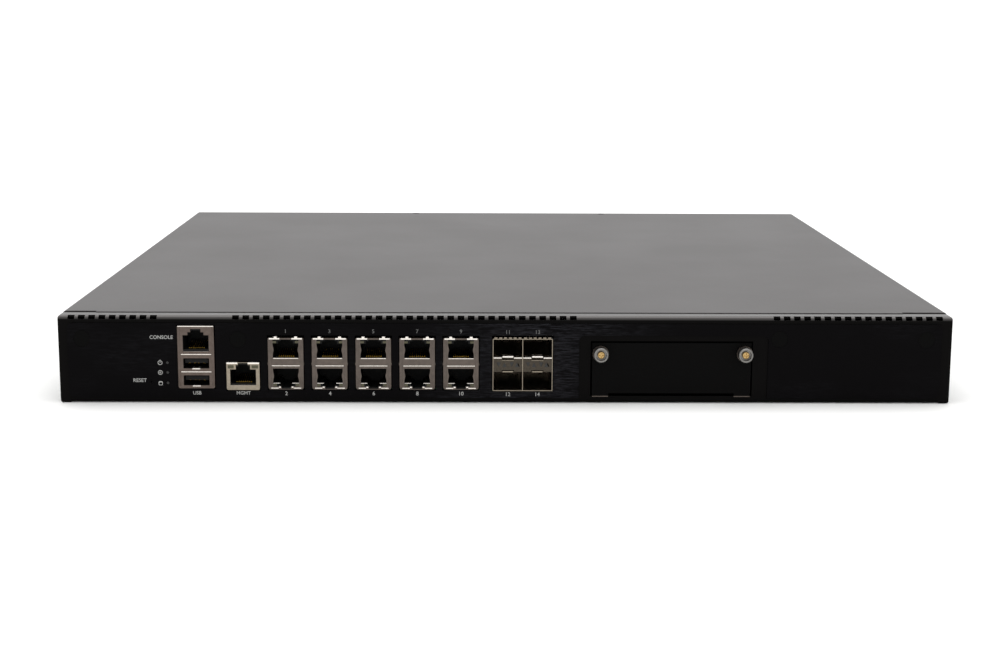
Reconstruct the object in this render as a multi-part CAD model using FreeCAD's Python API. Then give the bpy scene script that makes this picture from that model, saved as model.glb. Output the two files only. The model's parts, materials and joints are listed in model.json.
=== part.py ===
import FreeCAD, Part
import math
import os

V = FreeCAD.Vector

# A rack-height network appliance, one rack unit tall. All sizes are in millimetres.
# While the pieces are drawn, X runs to the right seen from the front, Y runs from the front
# wall's outer face (Y = 0) to the rear, and Z runs up from the underside. The last lines move
# everything back along Y so that the origin is the middle of the finished appliance's base.

# --- folded steel case ---
WIDTH = 438.0
DEPTH = 430.0
HEIGHT = 43.6
SHEET = 1.0
HALF = WIDTH / 2
LIP_TOP = 43.3            # top of the front section's lip, a hair under the cover
LIP_DEPTH = 8.6           # how far back the lip reaches
TOP_BEND = 2.3            # outer radius of the bend between front wall and lip
BASE_BEND = 2.0           # outer radius of the bend between base and front wall
BASE_BEND_HALF = 214.0    # the base bend stops here, and the last 5 mm of each corner is square
CORNER = 1.2              # rounding of the long lower edges and of the front's outline
COVER_STEP = 1.2          # side walls step in by this so that the cover's skirt lies flush
WALL_TOP = 42.4           # top of the side walls' inward flanges
FLANGE = 10.0             # width of those flanges
SHELF_DEPTH = 16.0        # end of the shelf under the cover's front edge
INNER_HALF = HALF - COVER_STEP - SHEET
EAR_HOLE = 2.0            # radius of the M4 holes for rack ears and rails
EAR_HOLES = tuple((y, z) for y in (22.0, 58.0) for z in (7.5, 23.5))
RAIL_HOLES = ((250.0, 15.5), (350.0, 15.5))

# --- top cover ---
COVER_FRONT = 9.2
SKIRT_BOTTOM = 29.6
RELIEFS = ((-219.0, -202.3), (196.5, 219.0))   # where the lid's front edge is set back
RELIEF_DEEP = 2.2
RELIEF_BOTTOM = 41.6
COVER_BEND = 1.5
COVER_SCREW_X = (-58.5, 77.0)
COVER_SCREW_Y = 426.0
COVER_SCREW_TIP = 40.45
COVER_SCREW_SUNK = 0.4

# --- vent slots folded over the front's top edge ---
SLOT_PITCH = 5.0
SLOT_WIDTH = 3.3
SLOT_BOTTOM = 41.4
SLOT_BACK = 1.8
SLOT_CORNER = 0.4
SLOT_GROUPS = ((-212.5, 9), (-132.5, 34), (132.5, 17))   # first slot's centre, how many

# --- front overlay plate ---
LABEL = (-214.5, 214.0, 2.5, 39.7)
LABEL_THICK = 0.6
LABEL_CORNER = 2.5
BAY_NOTCH = (35.5, 128.5, 33.8)                          # left, right and top of its cut-away
STUDS = ((-207.5, 32.0), (-131.5, 31.5), (133.9, 32.2), (206.5, 31.9))
STUD_RADIUS = 4.0
SHELL_FRONT = -1.3                                       # front face of every connector shell
FACE_GAP = 0.4                                           # cut-outs are this much larger all round

# --- connectors: left, right, bottom, top of each shell ---
CONSOLE = (-160.9, -143.0, 7.3, 38.4)
MANAGEMENT = (-137.3, -121.1, 6.5, 20.3)
LAN_CENTRES = tuple(-108.2 + 21.43 * i for i in range(5))
LAN_WIDTH = 17.4
LAN_BOTTOM = 6.8
LAN_TOP = 32.5
LAN_UPPER = 22.5          # bottom of the upper jack's aperture
LAN_LOWER = 10.0          # bottom of the lower jack's aperture
LAN_BUMP = 5.0            # bumps on a stack's top edge, either side of its middle
SFP = (-6.9, 22.5, 6.2, 32.3)
SFP_WALL = 0.5
SFP_ROWS = ((7.0, 16.0), (22.9, 31.7))
SFP_DEPTH = 48.0
SHELL_WALL = 0.3
JACK_WIDE = 12.6
JACK_HIGH = 7.2
JACK_DEEP = 16.0
CONSOLE_DEEP = 22.0
MANAGEMENT_DEEP = 21.0
LAN_DEEP = 26.0
USB_HIGH = 4.95
USB_BOTTOMS = (17.3, 8.8)
CONTACT_PITCH = 1.02
CONTACT_WIDE = 0.45
STATUS_X = -166.1
STATUS_Z = (20.0, 15.1, 9.9)
RESET_AT = (-174.0, 10.5)

# --- main board and what stands on it ---
BOARD_TOP = 6.2
BOARD_THICK = 1.6
BOARD_HALF = 208.0
BOARD_FRONT = 4.0
BOARD_REAR = 228.0
STANDOFFS = ((-200, 40), (-200, 130), (-200, 220), (-70, 120), (-70, 220),
             (30, 120), (30, 220), (200, 40), (200, 130), (200, 220))
CPU_AT = (-20.0, 185.0)
DIMM_X = tuple(-104.0 - 9.5 * i for i in range(4))

# --- expansion module bay ---
BAY = (41.2, 121.0, 3.5, 31.0)
BAY_DEEP = 150.0
BLANK = (42.0, 120.2, 4.2, 30.2)
BLANK_THICK = 1.2
BLANK_TAB = 8.0
SCREW_X = (46.0, 116.8)
SCREW_Z = 25.1
KNOB_FRONT = -6.8
KNOB_BACK = -2.8
KNOB_RADIUS = 3.6
COLLAR_RADIUS = 3.9
THREAD_RADIUS = 1.45
THREAD_END = 7.5
EAR_FRONT = 5.0

# --- cooling fans on the rear panel ---
FAN = 40.0
FAN_DEEP = 28.0
FAN_X = tuple(-186.0 + 51.0 * i for i in range(4))
FAN_Z = 21.2
FAN_HOLE = 16.0           # screw holes, from the fan's centre
REAR = DEPTH - SHEET      # inner face of the rear panel

# --- power supplies ---
PSU_X = (98.5, 173.6)
PSU_WIDE = 73.5
PSU_Z = (1.3, 40.3)
PSU_FRONT = 247.5
PSU_REAR = 430.6
PSU_WALL = 0.8
PSU_FAN = 36.0
PSU_FAN_AT = 14.5         # fan centre, from the supply's centre
PSU_MID = 20.8
INLET_AT = -21.0          # inlet centre, from the supply's centre
HANDLE_PIVOT = (433.6, 34.5)
HANDLE_HALF = 15.5
HANDLE_DROP = 22.0
HANDLE_WIRE = 1.5
LATCH_AT = -35.1
LATCH_PIVOT_Y = 400.0
LATCH_END = 440.6
CAGE_WALLS = (60.5, 135.65, 210.75)
CAGE_WALL = 0.8
CAGE_FRONT = 240.0
CAGE_TOP = (40.5, 41.3)

# --- rear switch ---
SWITCH_X = 26.5
SWITCH_Z = 21.6
SWITCH_WIDE = 13.0
SWITCH_HIGH = 19.2
ROCKER_PIVOT_Y = 427.0
ROCKER_TILT = 9.0

MIDDLE_Y = (KNOB_FRONT + LATCH_END) / 2


# ---------------------------------------------------------------- helpers

def box(x0, x1, y0, y1, z0, z1):
    return Part.makeBox(x1 - x0, y1 - y0, z1 - z0, V(x0, y0, z0))


def rod(radius, start, end):
    start, end = V(*start), V(*end)
    return Part.makeCylinder(radius, (end - start).Length, start, end - start)


def cone(radius, tip_radius, start, end):
    start, end = V(*start), V(*end)
    return Part.makeCone(radius, tip_radius, (end - start).Length, start, end - start)


def fuse(shapes):
    return shapes[0].multiFuse(shapes[1:]).removeSplitter()


def group(shapes):
    return Part.makeCompound(shapes)


def bend(x0, x1, y, z, radius, into_y, into_z):
    """What a bend along X takes off a square edge at (y, z)."""
    block = box(x0, x1, min(y, y + into_y * radius), max(y, y + into_y * radius),
                min(z, z + into_z * radius), max(z, z + into_z * radius))
    middle = (y + into_y * radius, z + into_z * radius)
    return block.cut(rod(radius, (x0 - 1, *middle), (x1 + 1, *middle)))


def long_bend(x, y0, y1, z, radius, into_x, into_z):
    """What a bend along Y takes off a square edge at (x, z)."""
    block = box(min(x, x + into_x * radius), max(x, x + into_x * radius), y0, y1,
                min(z, z + into_z * radius), max(z, z + into_z * radius))
    middle = (x + into_x * radius, z + into_z * radius)
    return block.cut(rod(radius, (middle[0], y0 - 1, middle[1]), (middle[0], y1 + 1, middle[1])))


def prism(outline, y0, y1):
    """An outline of (x, z) points, extruded from y0 to y1."""
    points = [V(x, y0, z) for x, z in outline]
    return Part.Face(Part.makePolygon(points + points[:1])).extrude(V(0, y1 - y0, 0))


def strip(outline, x0, x1):
    """An outline of (y, z) points, extruded from x0 to x1."""
    points = [V(x0, y, z) for y, z in outline]
    return Part.Face(Part.makePolygon(points + points[:1])).extrude(V(x1 - x0, 0, 0))


def grown(rectangle, gap, y0, y1):
    left, right, bottom, top = rectangle
    return box(left - gap, right + gap, y0, y1, bottom - gap, top + gap)


def rounded_plate(x0, x1, y0, y1, z0, z1, radius):
    plate = box(x0, x1, y0, y1, z0, z1)
    edges = [e for e in plate.Edges
             if abs(e.Vertexes[0].Z - e.Vertexes[1].Z) < 1e-6
             and abs(e.Vertexes[0].X - e.Vertexes[1].X) < 1e-6]
    return plate.makeFillet(radius, edges)


def lan_rectangle(centre):
    return (centre - LAN_WIDTH / 2, centre + LAN_WIDTH / 2, LAN_BOTTOM, LAN_TOP)


def jack_outline(centre, bottom, latch_up, y0, y1):
    """The mouth of a modular jack: a rectangle with two steps where the plug's latch goes."""
    half = JACK_WIDE / 2
    top = bottom + JACK_HIGH
    steps = ((3.7, 1.3), (2.4, 2.3))
    pieces = [box(centre - half, centre + half, y0, y1, bottom, top)]
    for step_half, reach in steps:
        if latch_up:
            pieces.append(box(centre - step_half, centre + step_half, y0, y1, top - 1, top + reach))
        else:
            pieces.append(box(centre - step_half, centre + step_half, y0, y1,
                              bottom - reach, bottom + 1))
    return fuse(pieces)


def jacks():
    """(centre x, aperture bottom, latch on top?) of every modular jack."""
    found = [(sum(CONSOLE[:2]) / 2, 26.7, True), (sum(MANAGEMENT[:2]) / 2, 9.7, True)]
    for centre in LAN_CENTRES:
        found.append((centre, LAN_UPPER, True))
        found.append((centre, LAN_LOWER, False))
    return found


def ring_slots(x, z, y0, y1, rings, spoke):
    """Concentric ring slots of a punched fan grille, crossed by four spokes."""
    cutters = []
    for inner, outer in rings:
        ring = rod(outer, (x, y0, z), (x, y1, z)).cut(rod(inner, (x, y0 - 1, z), (x, y1 + 1, z)))
        reach = outer + 1
        bars = [box(x - reach, x + reach, y0 - 1, y1 + 1, z - spoke / 2, z + spoke / 2),
                box(x - spoke / 2, x + spoke / 2, y0 - 1, y1 + 1, z - reach, z + reach)]
        for bar in bars:
            bar.rotate(V(x, 0, z), V(0, 1, 0), 45)
        cutters += ring.cut(bars).Solids
    return cutters


# ---------------------------------------------------------------- case

def front_cutouts(y0, y1, gap):
    cuts = [grown(CONSOLE, gap, y0, y1), grown(MANAGEMENT, gap, y0, y1)]
    for centre in LAN_CENTRES:
        left, right, bottom, top = lan_rectangle(centre)
        cuts.append(grown((left, right, bottom, top + 0.8), gap, y0, y1))
    left, right, bottom, top = SFP
    cuts.append(grown((left, right, bottom, top + 1.0), gap, y0, y1))
    for z in STATUS_Z:
        cuts.append(rod(0.65, (STATUS_X, y0, z), (STATUS_X, y1, z)))
    cuts.append(rod(0.6, (RESET_AT[0], y0, RESET_AT[1]), (RESET_AT[0], y1, RESET_AT[1])))
    return cuts


def vent_slots():
    """Slots that start on the front wall and end just over the bend, on the lip."""
    half = SLOT_WIDTH / 2
    cutters = []
    for first, count in SLOT_GROUPS:
        for i in range(count):
            x = first + i * SLOT_PITCH
            slot = box(x - half, x + half, -1, SLOT_BACK, SLOT_BOTTOM, LIP_TOP + 1)
            corners = [e for e in slot.Edges
                       if all(abs(v.Z - SLOT_BOTTOM) < 1e-6 for v in e.Vertexes)
                       and abs(e.Vertexes[0].X - e.Vertexes[1].X) < 1e-6]
            cutters.append(slot.makeFillet(SLOT_CORNER, corners))
    return cutters


def chassis_tray():
    """Base, side walls, front wall and lip, folded from one sheet."""
    step = HALF - COVER_STEP
    front = box(-HALF, HALF, 0, LIP_DEPTH, 0, LIP_TOP)
    body = box(-step, step, LIP_DEPTH, DEPTH, 0, WALL_TOP)
    tray = front.fuse(body)
    rounds = [bend(-BASE_BEND_HALF, BASE_BEND_HALF, 0, 0, BASE_BEND, 1, 1),
              bend(-HALF - 1, HALF + 1, 0, LIP_TOP, TOP_BEND, 1, -1)]
    for side in (-1, 1):
        rounds.append(long_bend(side * HALF, 0, LIP_DEPTH, 0, CORNER, -side, 1))
        rounds.append(long_bend(side * HALF, 0, LIP_DEPTH, LIP_TOP, CORNER, -side, -1))
        rounds.append(long_bend(side * step, LIP_DEPTH, DEPTH, 0, CORNER, -side, 1))
    shelf_under = WALL_TOP - SHEET
    hollow_front = box(-HALF + SHEET, HALF - SHEET, SHEET, LIP_DEPTH - SHEET,
                       SHEET, LIP_TOP - SHEET)
    hollow_front = hollow_front.cut([
        bend(-HALF, HALF, SHEET, SHEET, BASE_BEND - SHEET, 1, 1),
        bend(-HALF, HALF, SHEET, LIP_TOP - SHEET, TOP_BEND - SHEET, 1, -1)])
    hollow = box(-INNER_HALF, INNER_HALF, LIP_DEPTH - SHEET - 0.1, DEPTH + 1, SHEET, shelf_under)
    mouth = box(-step + FLANGE, step - FLANGE, SHELF_DEPTH, DEPTH + 1, shelf_under - 0.1, HEIGHT)
    tray = tray.cut(rounds + [hollow_front, hollow, mouth])
    tray = tray.cut(vent_slots())
    holes = front_cutouts(-1, SHEET + 1, FACE_GAP)
    holes.append(box(BAY[0], BAY[1], -1, SHEET + 1, BAY[2], BAY[3]))
    for x, z in STUDS:
        holes.append(rod(1.6, (x, -1, z), (x, SHEET + 1, z)))
    for side in (-1, 1):
        for y, z in EAR_HOLES + RAIL_HOLES:
            holes.append(rod(EAR_HOLE, (side * (INNER_HALF - 1), y, z), (side * (HALF + 1), y, z)))
    return tray.cut(holes)


def top_cover():
    """Lid with a skirt down each side, relieved at its front corners where the skirts are folded,
    and countersunk for its two rear screws."""
    lid = box(-HALF, HALF, COVER_FRONT, DEPTH, SKIRT_BOTTOM, HEIGHT)
    lid = lid.cut([box(-HALF + SHEET, HALF - SHEET, COVER_FRONT - 1, DEPTH + 1,
                       SKIRT_BOTTOM - 1, HEIGHT - SHEET),
                   long_bend(-HALF, COVER_FRONT, DEPTH, HEIGHT, COVER_BEND, 1, -1),
                   long_bend(HALF, COVER_FRONT, DEPTH, HEIGHT, COVER_BEND, -1, -1)])
    lid = lid.cut([box(x0, x1, COVER_FRONT - 1, COVER_FRONT + RELIEF_DEEP, RELIEF_BOTTOM, HEIGHT + 1)
                   for x0, x1 in RELIEFS])
    for x in COVER_SCREW_X:
        lid = lid.cut(rod(1.6, (x, COVER_SCREW_Y, HEIGHT - 2), (x, COVER_SCREW_Y, HEIGHT + 1)))
        lid = lid.cut(cone(2.6, 1.6, (x, COVER_SCREW_Y, HEIGHT), (x, COVER_SCREW_Y, HEIGHT - 1)))
    return lid


def cover_screws():
    """Two countersunk screws with cross recesses."""
    screws = []
    for x in COVER_SCREW_X:
        y = COVER_SCREW_Y
        top = HEIGHT - COVER_SCREW_SUNK
        screw = fuse([cone(2.1, 1.5, (x, y, top), (x, y, top - 0.6)),
                      rod(1.5, (x, y, top - 0.6), (x, y, COVER_SCREW_TIP))])
        screws.append(screw.cut([box(x - 1.2, x + 1.2, y - 0.25, y + 0.25, top - 0.5, HEIGHT),
                                 box(x - 0.25, x + 0.25, y - 1.2, y + 1.2, top - 0.5, HEIGHT)]))
    return group(screws)


def rear_panel():
    """Rear wall beside the supplies, with fan grilles, the switch's window and its flanges."""
    step = HALF - COVER_STEP - FLANGE - 0.2
    right = CAGE_WALLS[0] - 0.2
    pieces = [box(-INNER_HALF + 0.2, right, REAR, DEPTH, SHEET, WALL_TOP - SHEET - 0.1),
              box(-step, right, REAR, DEPTH, WALL_TOP - SHEET - 0.2, WALL_TOP),
              box(-step, right, REAR - 12, DEPTH, WALL_TOP - SHEET, WALL_TOP)]
    for x0, x1 in ((-INNER_HALF + 0.2, -207.5), (-63.0, -54.0), (-12.0, right)):
        pieces.append(box(x0, x1, REAR - 12, DEPTH, SHEET, 2 * SHEET))
    panel = fuse(pieces)
    cuts = [box(SWITCH_X - SWITCH_WIDE / 2, SWITCH_X + SWITCH_WIDE / 2, REAR - 1, DEPTH + 1,
                SWITCH_Z - SWITCH_HIGH / 2, SWITCH_Z + SWITCH_HIGH / 2),
            rod(1.55, (COVER_SCREW_X[0], COVER_SCREW_Y, WALL_TOP - 2),
                (COVER_SCREW_X[0], COVER_SCREW_Y, WALL_TOP + 1))]
    for x in FAN_X:
        cuts += ring_slots(x, FAN_Z, REAR - 1, DEPTH + 1, ((4, 7.5), (9, 12.5), (14, 17.5)), 2.0)
        for sx in (-FAN_HOLE, FAN_HOLE):
            for sz in (-FAN_HOLE, FAN_HOLE):
                cuts.append(rod(2.0, (x + sx, REAR - 1, FAN_Z + sz), (x + sx, DEPTH + 1, FAN_Z + sz)))
    return panel.cut(cuts)


def front_label():
    """Thin black overlay plate, cut away round the module bay and every connector."""
    left, right, bottom, top = LABEL
    plate = rounded_plate(left, right, -LABEL_THICK, 0, bottom, top, LABEL_CORNER)
    notch_left, notch_right, notch_top = BAY_NOTCH
    notch = rounded_plate(notch_left, notch_right, -2, 1, bottom - 10, notch_top, LABEL_CORNER)
    cuts = [notch] + front_cutouts(-2, 1, FACE_GAP)
    for x, z in STUDS:
        cuts.append(rod(STUD_RADIUS + 0.1, (x, -2, z), (x, 1, z)))
    return plate.cut(cuts)


def front_studs():
    """Flush-headed studs clinched into the front wall."""
    return group([fuse([rod(STUD_RADIUS, (x, -LABEL_THICK + 0.05, z), (x, 0, z)),
                        rod(1.5, (x, -0.1, z), (x, 8, z))]) for x, z in STUDS])


# ---------------------------------------------------------------- connectors

def shell(rectangle, depth, windows):
    """Folded can, open underneath and behind, with windows in its face."""
    left, right, bottom, top = rectangle
    can = box(left, right, SHELL_FRONT, depth, bottom, top)
    can = can.cut(box(left + SHELL_WALL, right - SHELL_WALL, SHELL_FRONT + SHELL_WALL, depth + 1,
                      bottom - 1, top - SHELL_WALL))
    return can.cut(windows)


def insert(rectangle, depth, hollows):
    """Moulded body that fills a shell, with the plug cavities cut into it."""
    left, right, bottom, top = rectangle
    gap = SHELL_WALL + 0.02
    body = box(left + gap, right - gap, SHELL_FRONT + gap, depth, bottom, top - gap)
    return body.cut(hollows)


def usb_windows(y0, y1):
    centre = sum(CONSOLE[:2]) / 2
    half = JACK_WIDE / 2
    return [box(centre - half, centre + half, y0, y1, bottom, bottom + USB_HIGH)
            for bottom in USB_BOTTOMS]


def console_windows(y0, y1):
    return [jack_outline(sum(CONSOLE[:2]) / 2, 26.7, True, y0, y1)]


def management_windows(y0, y1):
    return [jack_outline(sum(MANAGEMENT[:2]) / 2, 9.7, True, y0, y1)]


def lan_windows(centre, y0, y1):
    return [jack_outline(centre, LAN_UPPER, True, y0, y1),
            jack_outline(centre, LAN_LOWER, False, y0, y1)]


def led_boxes(y0, y1, gap):
    """The small light windows in the corners of the jacks."""
    found = []
    middle = sum(MANAGEMENT[:2]) / 2
    for x0, x1 in ((-7.5, -4.5), (4.2, 7.4)):
        found.append(box(middle + x0 - gap, middle + x1 + gap, y0, y1, 17.3 - gap, 19.0 + gap))
    for centre in LAN_CENTRES:
        for side in (-1, 1):
            x0, x1 = sorted((centre + side * 4.6, centre + side * 7.8))
            for z0, z1 in ((29.95, 31.0), (8.4, 9.6)):
                found.append(box(x0 - gap, x1 + gap, y0, y1, z0 - gap, z1 + gap))
    return found


def jack_shells():
    """Plated cans of the management jack and of the five two-high stacks."""
    face = (SHELL_FRONT - 1, SHELL_FRONT + 1)
    lights = led_boxes(*face, 0.05)
    shells = [shell(MANAGEMENT, MANAGEMENT_DEEP, management_windows(*face) + lights)]
    for centre in LAN_CENTRES:
        can = shell(lan_rectangle(centre), LAN_DEEP, lan_windows(centre, *face) + lights)
        bumps = [box(centre + side * LAN_BUMP - 0.8, centre + side * LAN_BUMP + 0.8,
                     SHELL_FRONT + 0.2, 6, LAN_TOP - 0.1, LAN_TOP + 0.7) for side in (-1, 1)]
        shells.append(fuse([can] + bumps))
    return group(shells)


def jack_inserts():
    lights = led_boxes(SHELL_FRONT - 1, 4.0, 0.1)
    front = SHELL_FRONT - 1
    bodies = [insert(MANAGEMENT, MANAGEMENT_DEEP,
                     management_windows(front, JACK_DEEP) + lights)]
    for centre in LAN_CENTRES:
        bodies.append(insert(lan_rectangle(centre), LAN_DEEP,
                             lan_windows(centre, front, JACK_DEEP) + lights))
    return group(bodies)


def console_usb_shell():
    face = (SHELL_FRONT - 1, SHELL_FRONT + 1)
    return shell(CONSOLE, CONSOLE_DEEP, console_windows(*face) + usb_windows(*face))


def console_usb_insert():
    """Body of the console jack over two USB sockets, with the sockets' tongues."""
    centre = sum(CONSOLE[:2]) / 2
    front = SHELL_FRONT - 1
    body = insert(CONSOLE, CONSOLE_DEEP,
                  console_windows(front, JACK_DEEP) + usb_windows(front, 14.0))
    tongues = [box(centre - 5.6, centre + 5.6, 0.2, 14.5, bottom + 2.45, bottom + 4.35)
               for bottom in USB_BOTTOMS]
    return fuse([body] + tongues)


def jack_contacts():
    """Eight gold springs in each modular jack and four on each USB tongue."""
    springs = []
    for centre, bottom, latch_up in jacks():
        wall = bottom if latch_up else bottom + JACK_HIGH
        way = 1 if latch_up else -1
        outline = [(2.0, wall + way * 0.1), (12.0, wall + way * 2.0),
                   (12.0, wall + way * 2.4), (2.0, wall + way * 0.5)]
        for i in range(8):
            x = centre + (i - 3.5) * CONTACT_PITCH
            springs.append(strip(outline, x - CONTACT_WIDE / 2, x + CONTACT_WIDE / 2))
    centre = sum(CONSOLE[:2]) / 2
    for bottom in USB_BOTTOMS:
        for x in (-3.5, -1.0, 1.0, 3.5):
            springs.append(box(centre + x - 0.5, centre + x + 0.5, 1.0, 12.0,
                               bottom + 2.25, bottom + 2.44))
    return group(springs)


def jack_leds():
    return group(led_boxes(SHELL_FRONT + 0.1, 3.8, 0.0))


def sfp_columns():
    left, right = SFP[:2]
    middle = (left + right) / 2
    return ((left + SFP_WALL, middle - SFP_WALL / 2), (middle + SFP_WALL / 2, right - SFP_WALL))


def triangles():
    """Outlines of the link arrows between the two rows of cages: down, up, down, up."""
    found = []
    low, high, half = 18.1, 20.7, 1.1
    for x0, x1 in sfp_columns():
        centre = (x0 + x1) / 2
        for i, offset in enumerate((-4.5, -1.7, 1.8, 4.4)):
            x = centre + offset
            base, tip = (high, low) if i % 2 == 0 else (low, high)
            found.append([(x - half, base), (x + half, base), (x, tip)])
    return found


def sfp_cage():
    """Two-by-two transceiver cage of folded steel, with grounding fingers along its top."""
    left, right, bottom, top = SFP
    cage = box(left, right, SHELL_FRONT, SFP_DEPTH, bottom, top)
    cuts = []
    for x0, x1 in sfp_columns():
        for z0, z1 in SFP_ROWS:
            cuts.append(box(x0, x1, SHELL_FRONT - 1, SFP_DEPTH - SFP_WALL, z0, z1))
        cuts.append(box(x0, x1, SHELL_FRONT + SFP_WALL, SFP_DEPTH + 1,
                        SFP_ROWS[0][1] + SFP_WALL, SFP_ROWS[1][0] - SFP_WALL))
    cuts += [prism(outline, SHELL_FRONT - 1, 1) for outline in triangles()]
    cage = cage.cut(cuts)
    fingers = []
    for x0, x1 in sfp_columns():
        for i in range(6):
            x = x0 + (i + 0.5) * (x1 - x0) / 6
            fingers.append(box(x - 0.8, x + 0.8, SHELL_FRONT + 0.3, 6, top - 0.1, top + 0.75))
    return fuse([cage] + fingers)


def sfp_connectors():
    """Card-edge sockets at the back of the four cages."""
    found = []
    for x0, x1 in sfp_columns():
        centre = (x0 + x1) / 2
        for z0, _ in SFP_ROWS:
            socket = box(centre - 5.6, centre + 5.6, 38.0, SFP_DEPTH - SFP_WALL, z0 + 1.2, z0 + 5.6)
            found.append(socket.cut(box(centre - 5.0, centre + 5.0, 37, 44, z0 + 2.8, z0 + 4.0)))
    return group(found)


def light_pipes():
    """Status lenses beside the sockets and the arrow lenses between the cages."""
    lenses = [rod(0.6, (STATUS_X, -LABEL_THICK - 0.1, z), (STATUS_X, 7, z)) for z in STATUS_Z]
    for outline in triangles():
        cx = sum(x for x, _ in outline) / 3
        cz = sum(z for _, z in outline) / 3
        smaller = [(cx + (x - cx) * 0.9, cz + (z - cz) * 0.9) for x, z in outline]
        lenses.append(prism(smaller, SHELL_FRONT + 0.05, 20))
    return group(lenses)


def reset_button():
    """Plunger of the recessed push switch, behind its pinhole."""
    x, z = RESET_AT
    return rod(1.5, (x, 2.2, z), (x, 6.5, z))


def reset_switch():
    x, z = RESET_AT
    body = box(x - 3, x + 3, 4.6, 9.0, BOARD_TOP, z + 3)
    return body.cut(rod(1.55, (x, 4, z), (x, 8.2, z)))


# ---------------------------------------------------------------- board

def mainboard():
    board = box(-BOARD_HALF, BOARD_HALF, BOARD_FRONT, BOARD_REAR, BOARD_TOP - BOARD_THICK, BOARD_TOP)
    cuts = [box(BAY[0] - 2.5, BAY[1] + 2.5, 0, BAY_DEEP + 4, 0, 10)]
    cuts += [rod(1.6, (x, y, 0), (x, y, 10)) for x, y in STANDOFFS]
    return board.cut(cuts)


def board_standoffs():
    under = BOARD_TOP - BOARD_THICK
    return group([rod(3.0, (x, y, SHEET), (x, y, under)).cut(rod(1.55, (x, y, SHEET + 0.6), (x, y, 9)))
                  for x, y in STANDOFFS])


def machine_screws():
    """M3 pan-head screws: through the board into its standoffs, and into the fans' corners."""
    screws = []
    for x, y in STANDOFFS:
        screws.append(fuse([rod(1.5, (x, y, SHEET + 0.8), (x, y, BOARD_TOP + 0.1)),
                            rod(2.8, (x, y, BOARD_TOP), (x, y, BOARD_TOP + 1.9))]))
    for x in FAN_X:
        for sx in (-FAN_HOLE, FAN_HOLE):
            for sz in (-FAN_HOLE, FAN_HOLE):
                at = (x + sx, FAN_Z + sz)
                head = rod(2.8, (at[0], DEPTH, at[1]), (at[0], DEPTH + 1.8, at[1]))
                slot = box(at[0] - 1.6, at[0] + 1.6, DEPTH + 1.0, DEPTH + 3, at[1] - 0.3, at[1] + 0.3)
                cross = box(at[0] - 0.3, at[0] + 0.3, DEPTH + 1.0, DEPTH + 3, at[1] - 1.6, at[1] + 1.6)
                shank = rod(1.7, (at[0], DEPTH - 9, at[1]), (at[0], DEPTH + 0.1, at[1]))
                screws.append(head.cut([slot, cross]).fuse(shank))
    return group(screws)


def processor():
    x, y = CPU_AT
    return group([box(x - 28, x + 28, y - 26, y + 26, BOARD_TOP, BOARD_TOP + 2),
                  box(x - 19, x + 19, y - 19, y + 19, BOARD_TOP + 2, BOARD_TOP + 4)])


def finned(x, y, wide, deep, bottom, base, top, fins):
    """A heat sink whose fins run from front to rear."""
    pieces = [box(x - wide / 2, x + wide / 2, y - deep / 2, y + deep / 2, bottom, bottom + base)]
    pitch = (wide - 0.8) / (fins - 1)
    for i in range(fins):
        at = x - wide / 2 + i * pitch
        pieces.append(box(at, at + 0.8, y - deep / 2, y + deep / 2, bottom + base - 0.1, top))
    return fuse(pieces)


def cpu_heatsink():
    return finned(*CPU_AT, 80, 76, BOARD_TOP + 4, 4, 38.5, 27)


def chip_heatsink():
    return finned(8, 88, 36, 36, BOARD_TOP + 2.6, 2.5, 22, 12)


def board_chips():
    """Network controllers, the transceiver controller and the board's control hub."""
    top = BOARD_TOP
    chips = [box(x - 12.5, x + 12.5, y - 12.5, y + 12.5, top, top + 2.2)
             for x, y in ((-92, 60), (-44, 60), (60, 200), (110, 200))]
    chips.append(box(8 - 14, 8 + 14, 88 - 14, 88 + 14, top, top + 2.6))
    return group(chips)


def dimm_sockets():
    sockets = []
    for x in DIMM_X:
        socket = box(x - 3.2, x + 3.2, 82, 224, BOARD_TOP, BOARD_TOP + 8)
        sockets.append(socket.cut(box(x - 0.75, x + 0.75, 85.6, 220.4, BOARD_TOP + 2.4, BOARD_TOP + 9)))
    return group(sockets)


def memory_modules():
    """Each stick is its board with a row of chips on one face."""
    sticks = []
    for x in DIMM_X:
        stick = [box(x - 0.6, x + 0.6, 86.3, 219.6, BOARD_TOP + 2.5, BOARD_TOP + 33.7)]
        for i in range(9):
            y = 92 + i * 13.8
            stick.append(box(x + 0.5, x + 1.7, y, y + 10, BOARD_TOP + 14, BOARD_TOP + 27))
        sticks.append(fuse(stick))
    return group(sticks)


def storage_module():
    """Solid-state module on its edge socket, held by one post."""
    x, y = 160.0, 60.0
    card = fuse([box(x - 11, x + 11, y, y + 80, BOARD_TOP + 3.2, BOARD_TOP + 4.0),
                 box(x - 9, x + 9, y + 8, y + 30, BOARD_TOP + 3.9, BOARD_TOP + 5.4),
                 box(x - 9, x + 9, y + 36, y + 58, BOARD_TOP + 3.9, BOARD_TOP + 5.4)])
    socket = box(x - 11, x + 11, y - 8, y + 4, BOARD_TOP, BOARD_TOP + 6)
    socket = socket.cut(box(x - 11.1, x + 11.1, y - 4, y + 5, BOARD_TOP + 3.1, BOARD_TOP + 4.1))
    post = rod(2.5, (x, y + 79, BOARD_TOP), (x, y + 79, BOARD_TOP + 3.2))
    return group([card.cut(box(x - 12, x + 12, y - 4, y - 0.01, BOARD_TOP, BOARD_TOP + 9)),
                  socket, post])


def coin_cell():
    x, y = 165.0, 195.0
    return group([rod(10.0, (x, y, BOARD_TOP + 1), (x, y, BOARD_TOP + 4.2)),
                  rod(11.2, (x, y, BOARD_TOP), (x, y, BOARD_TOP + 4)).cut(
                      rod(10.05, (x, y, BOARD_TOP + 1), (x, y, BOARD_TOP + 5)))])


# ---------------------------------------------------------------- module bay

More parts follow.
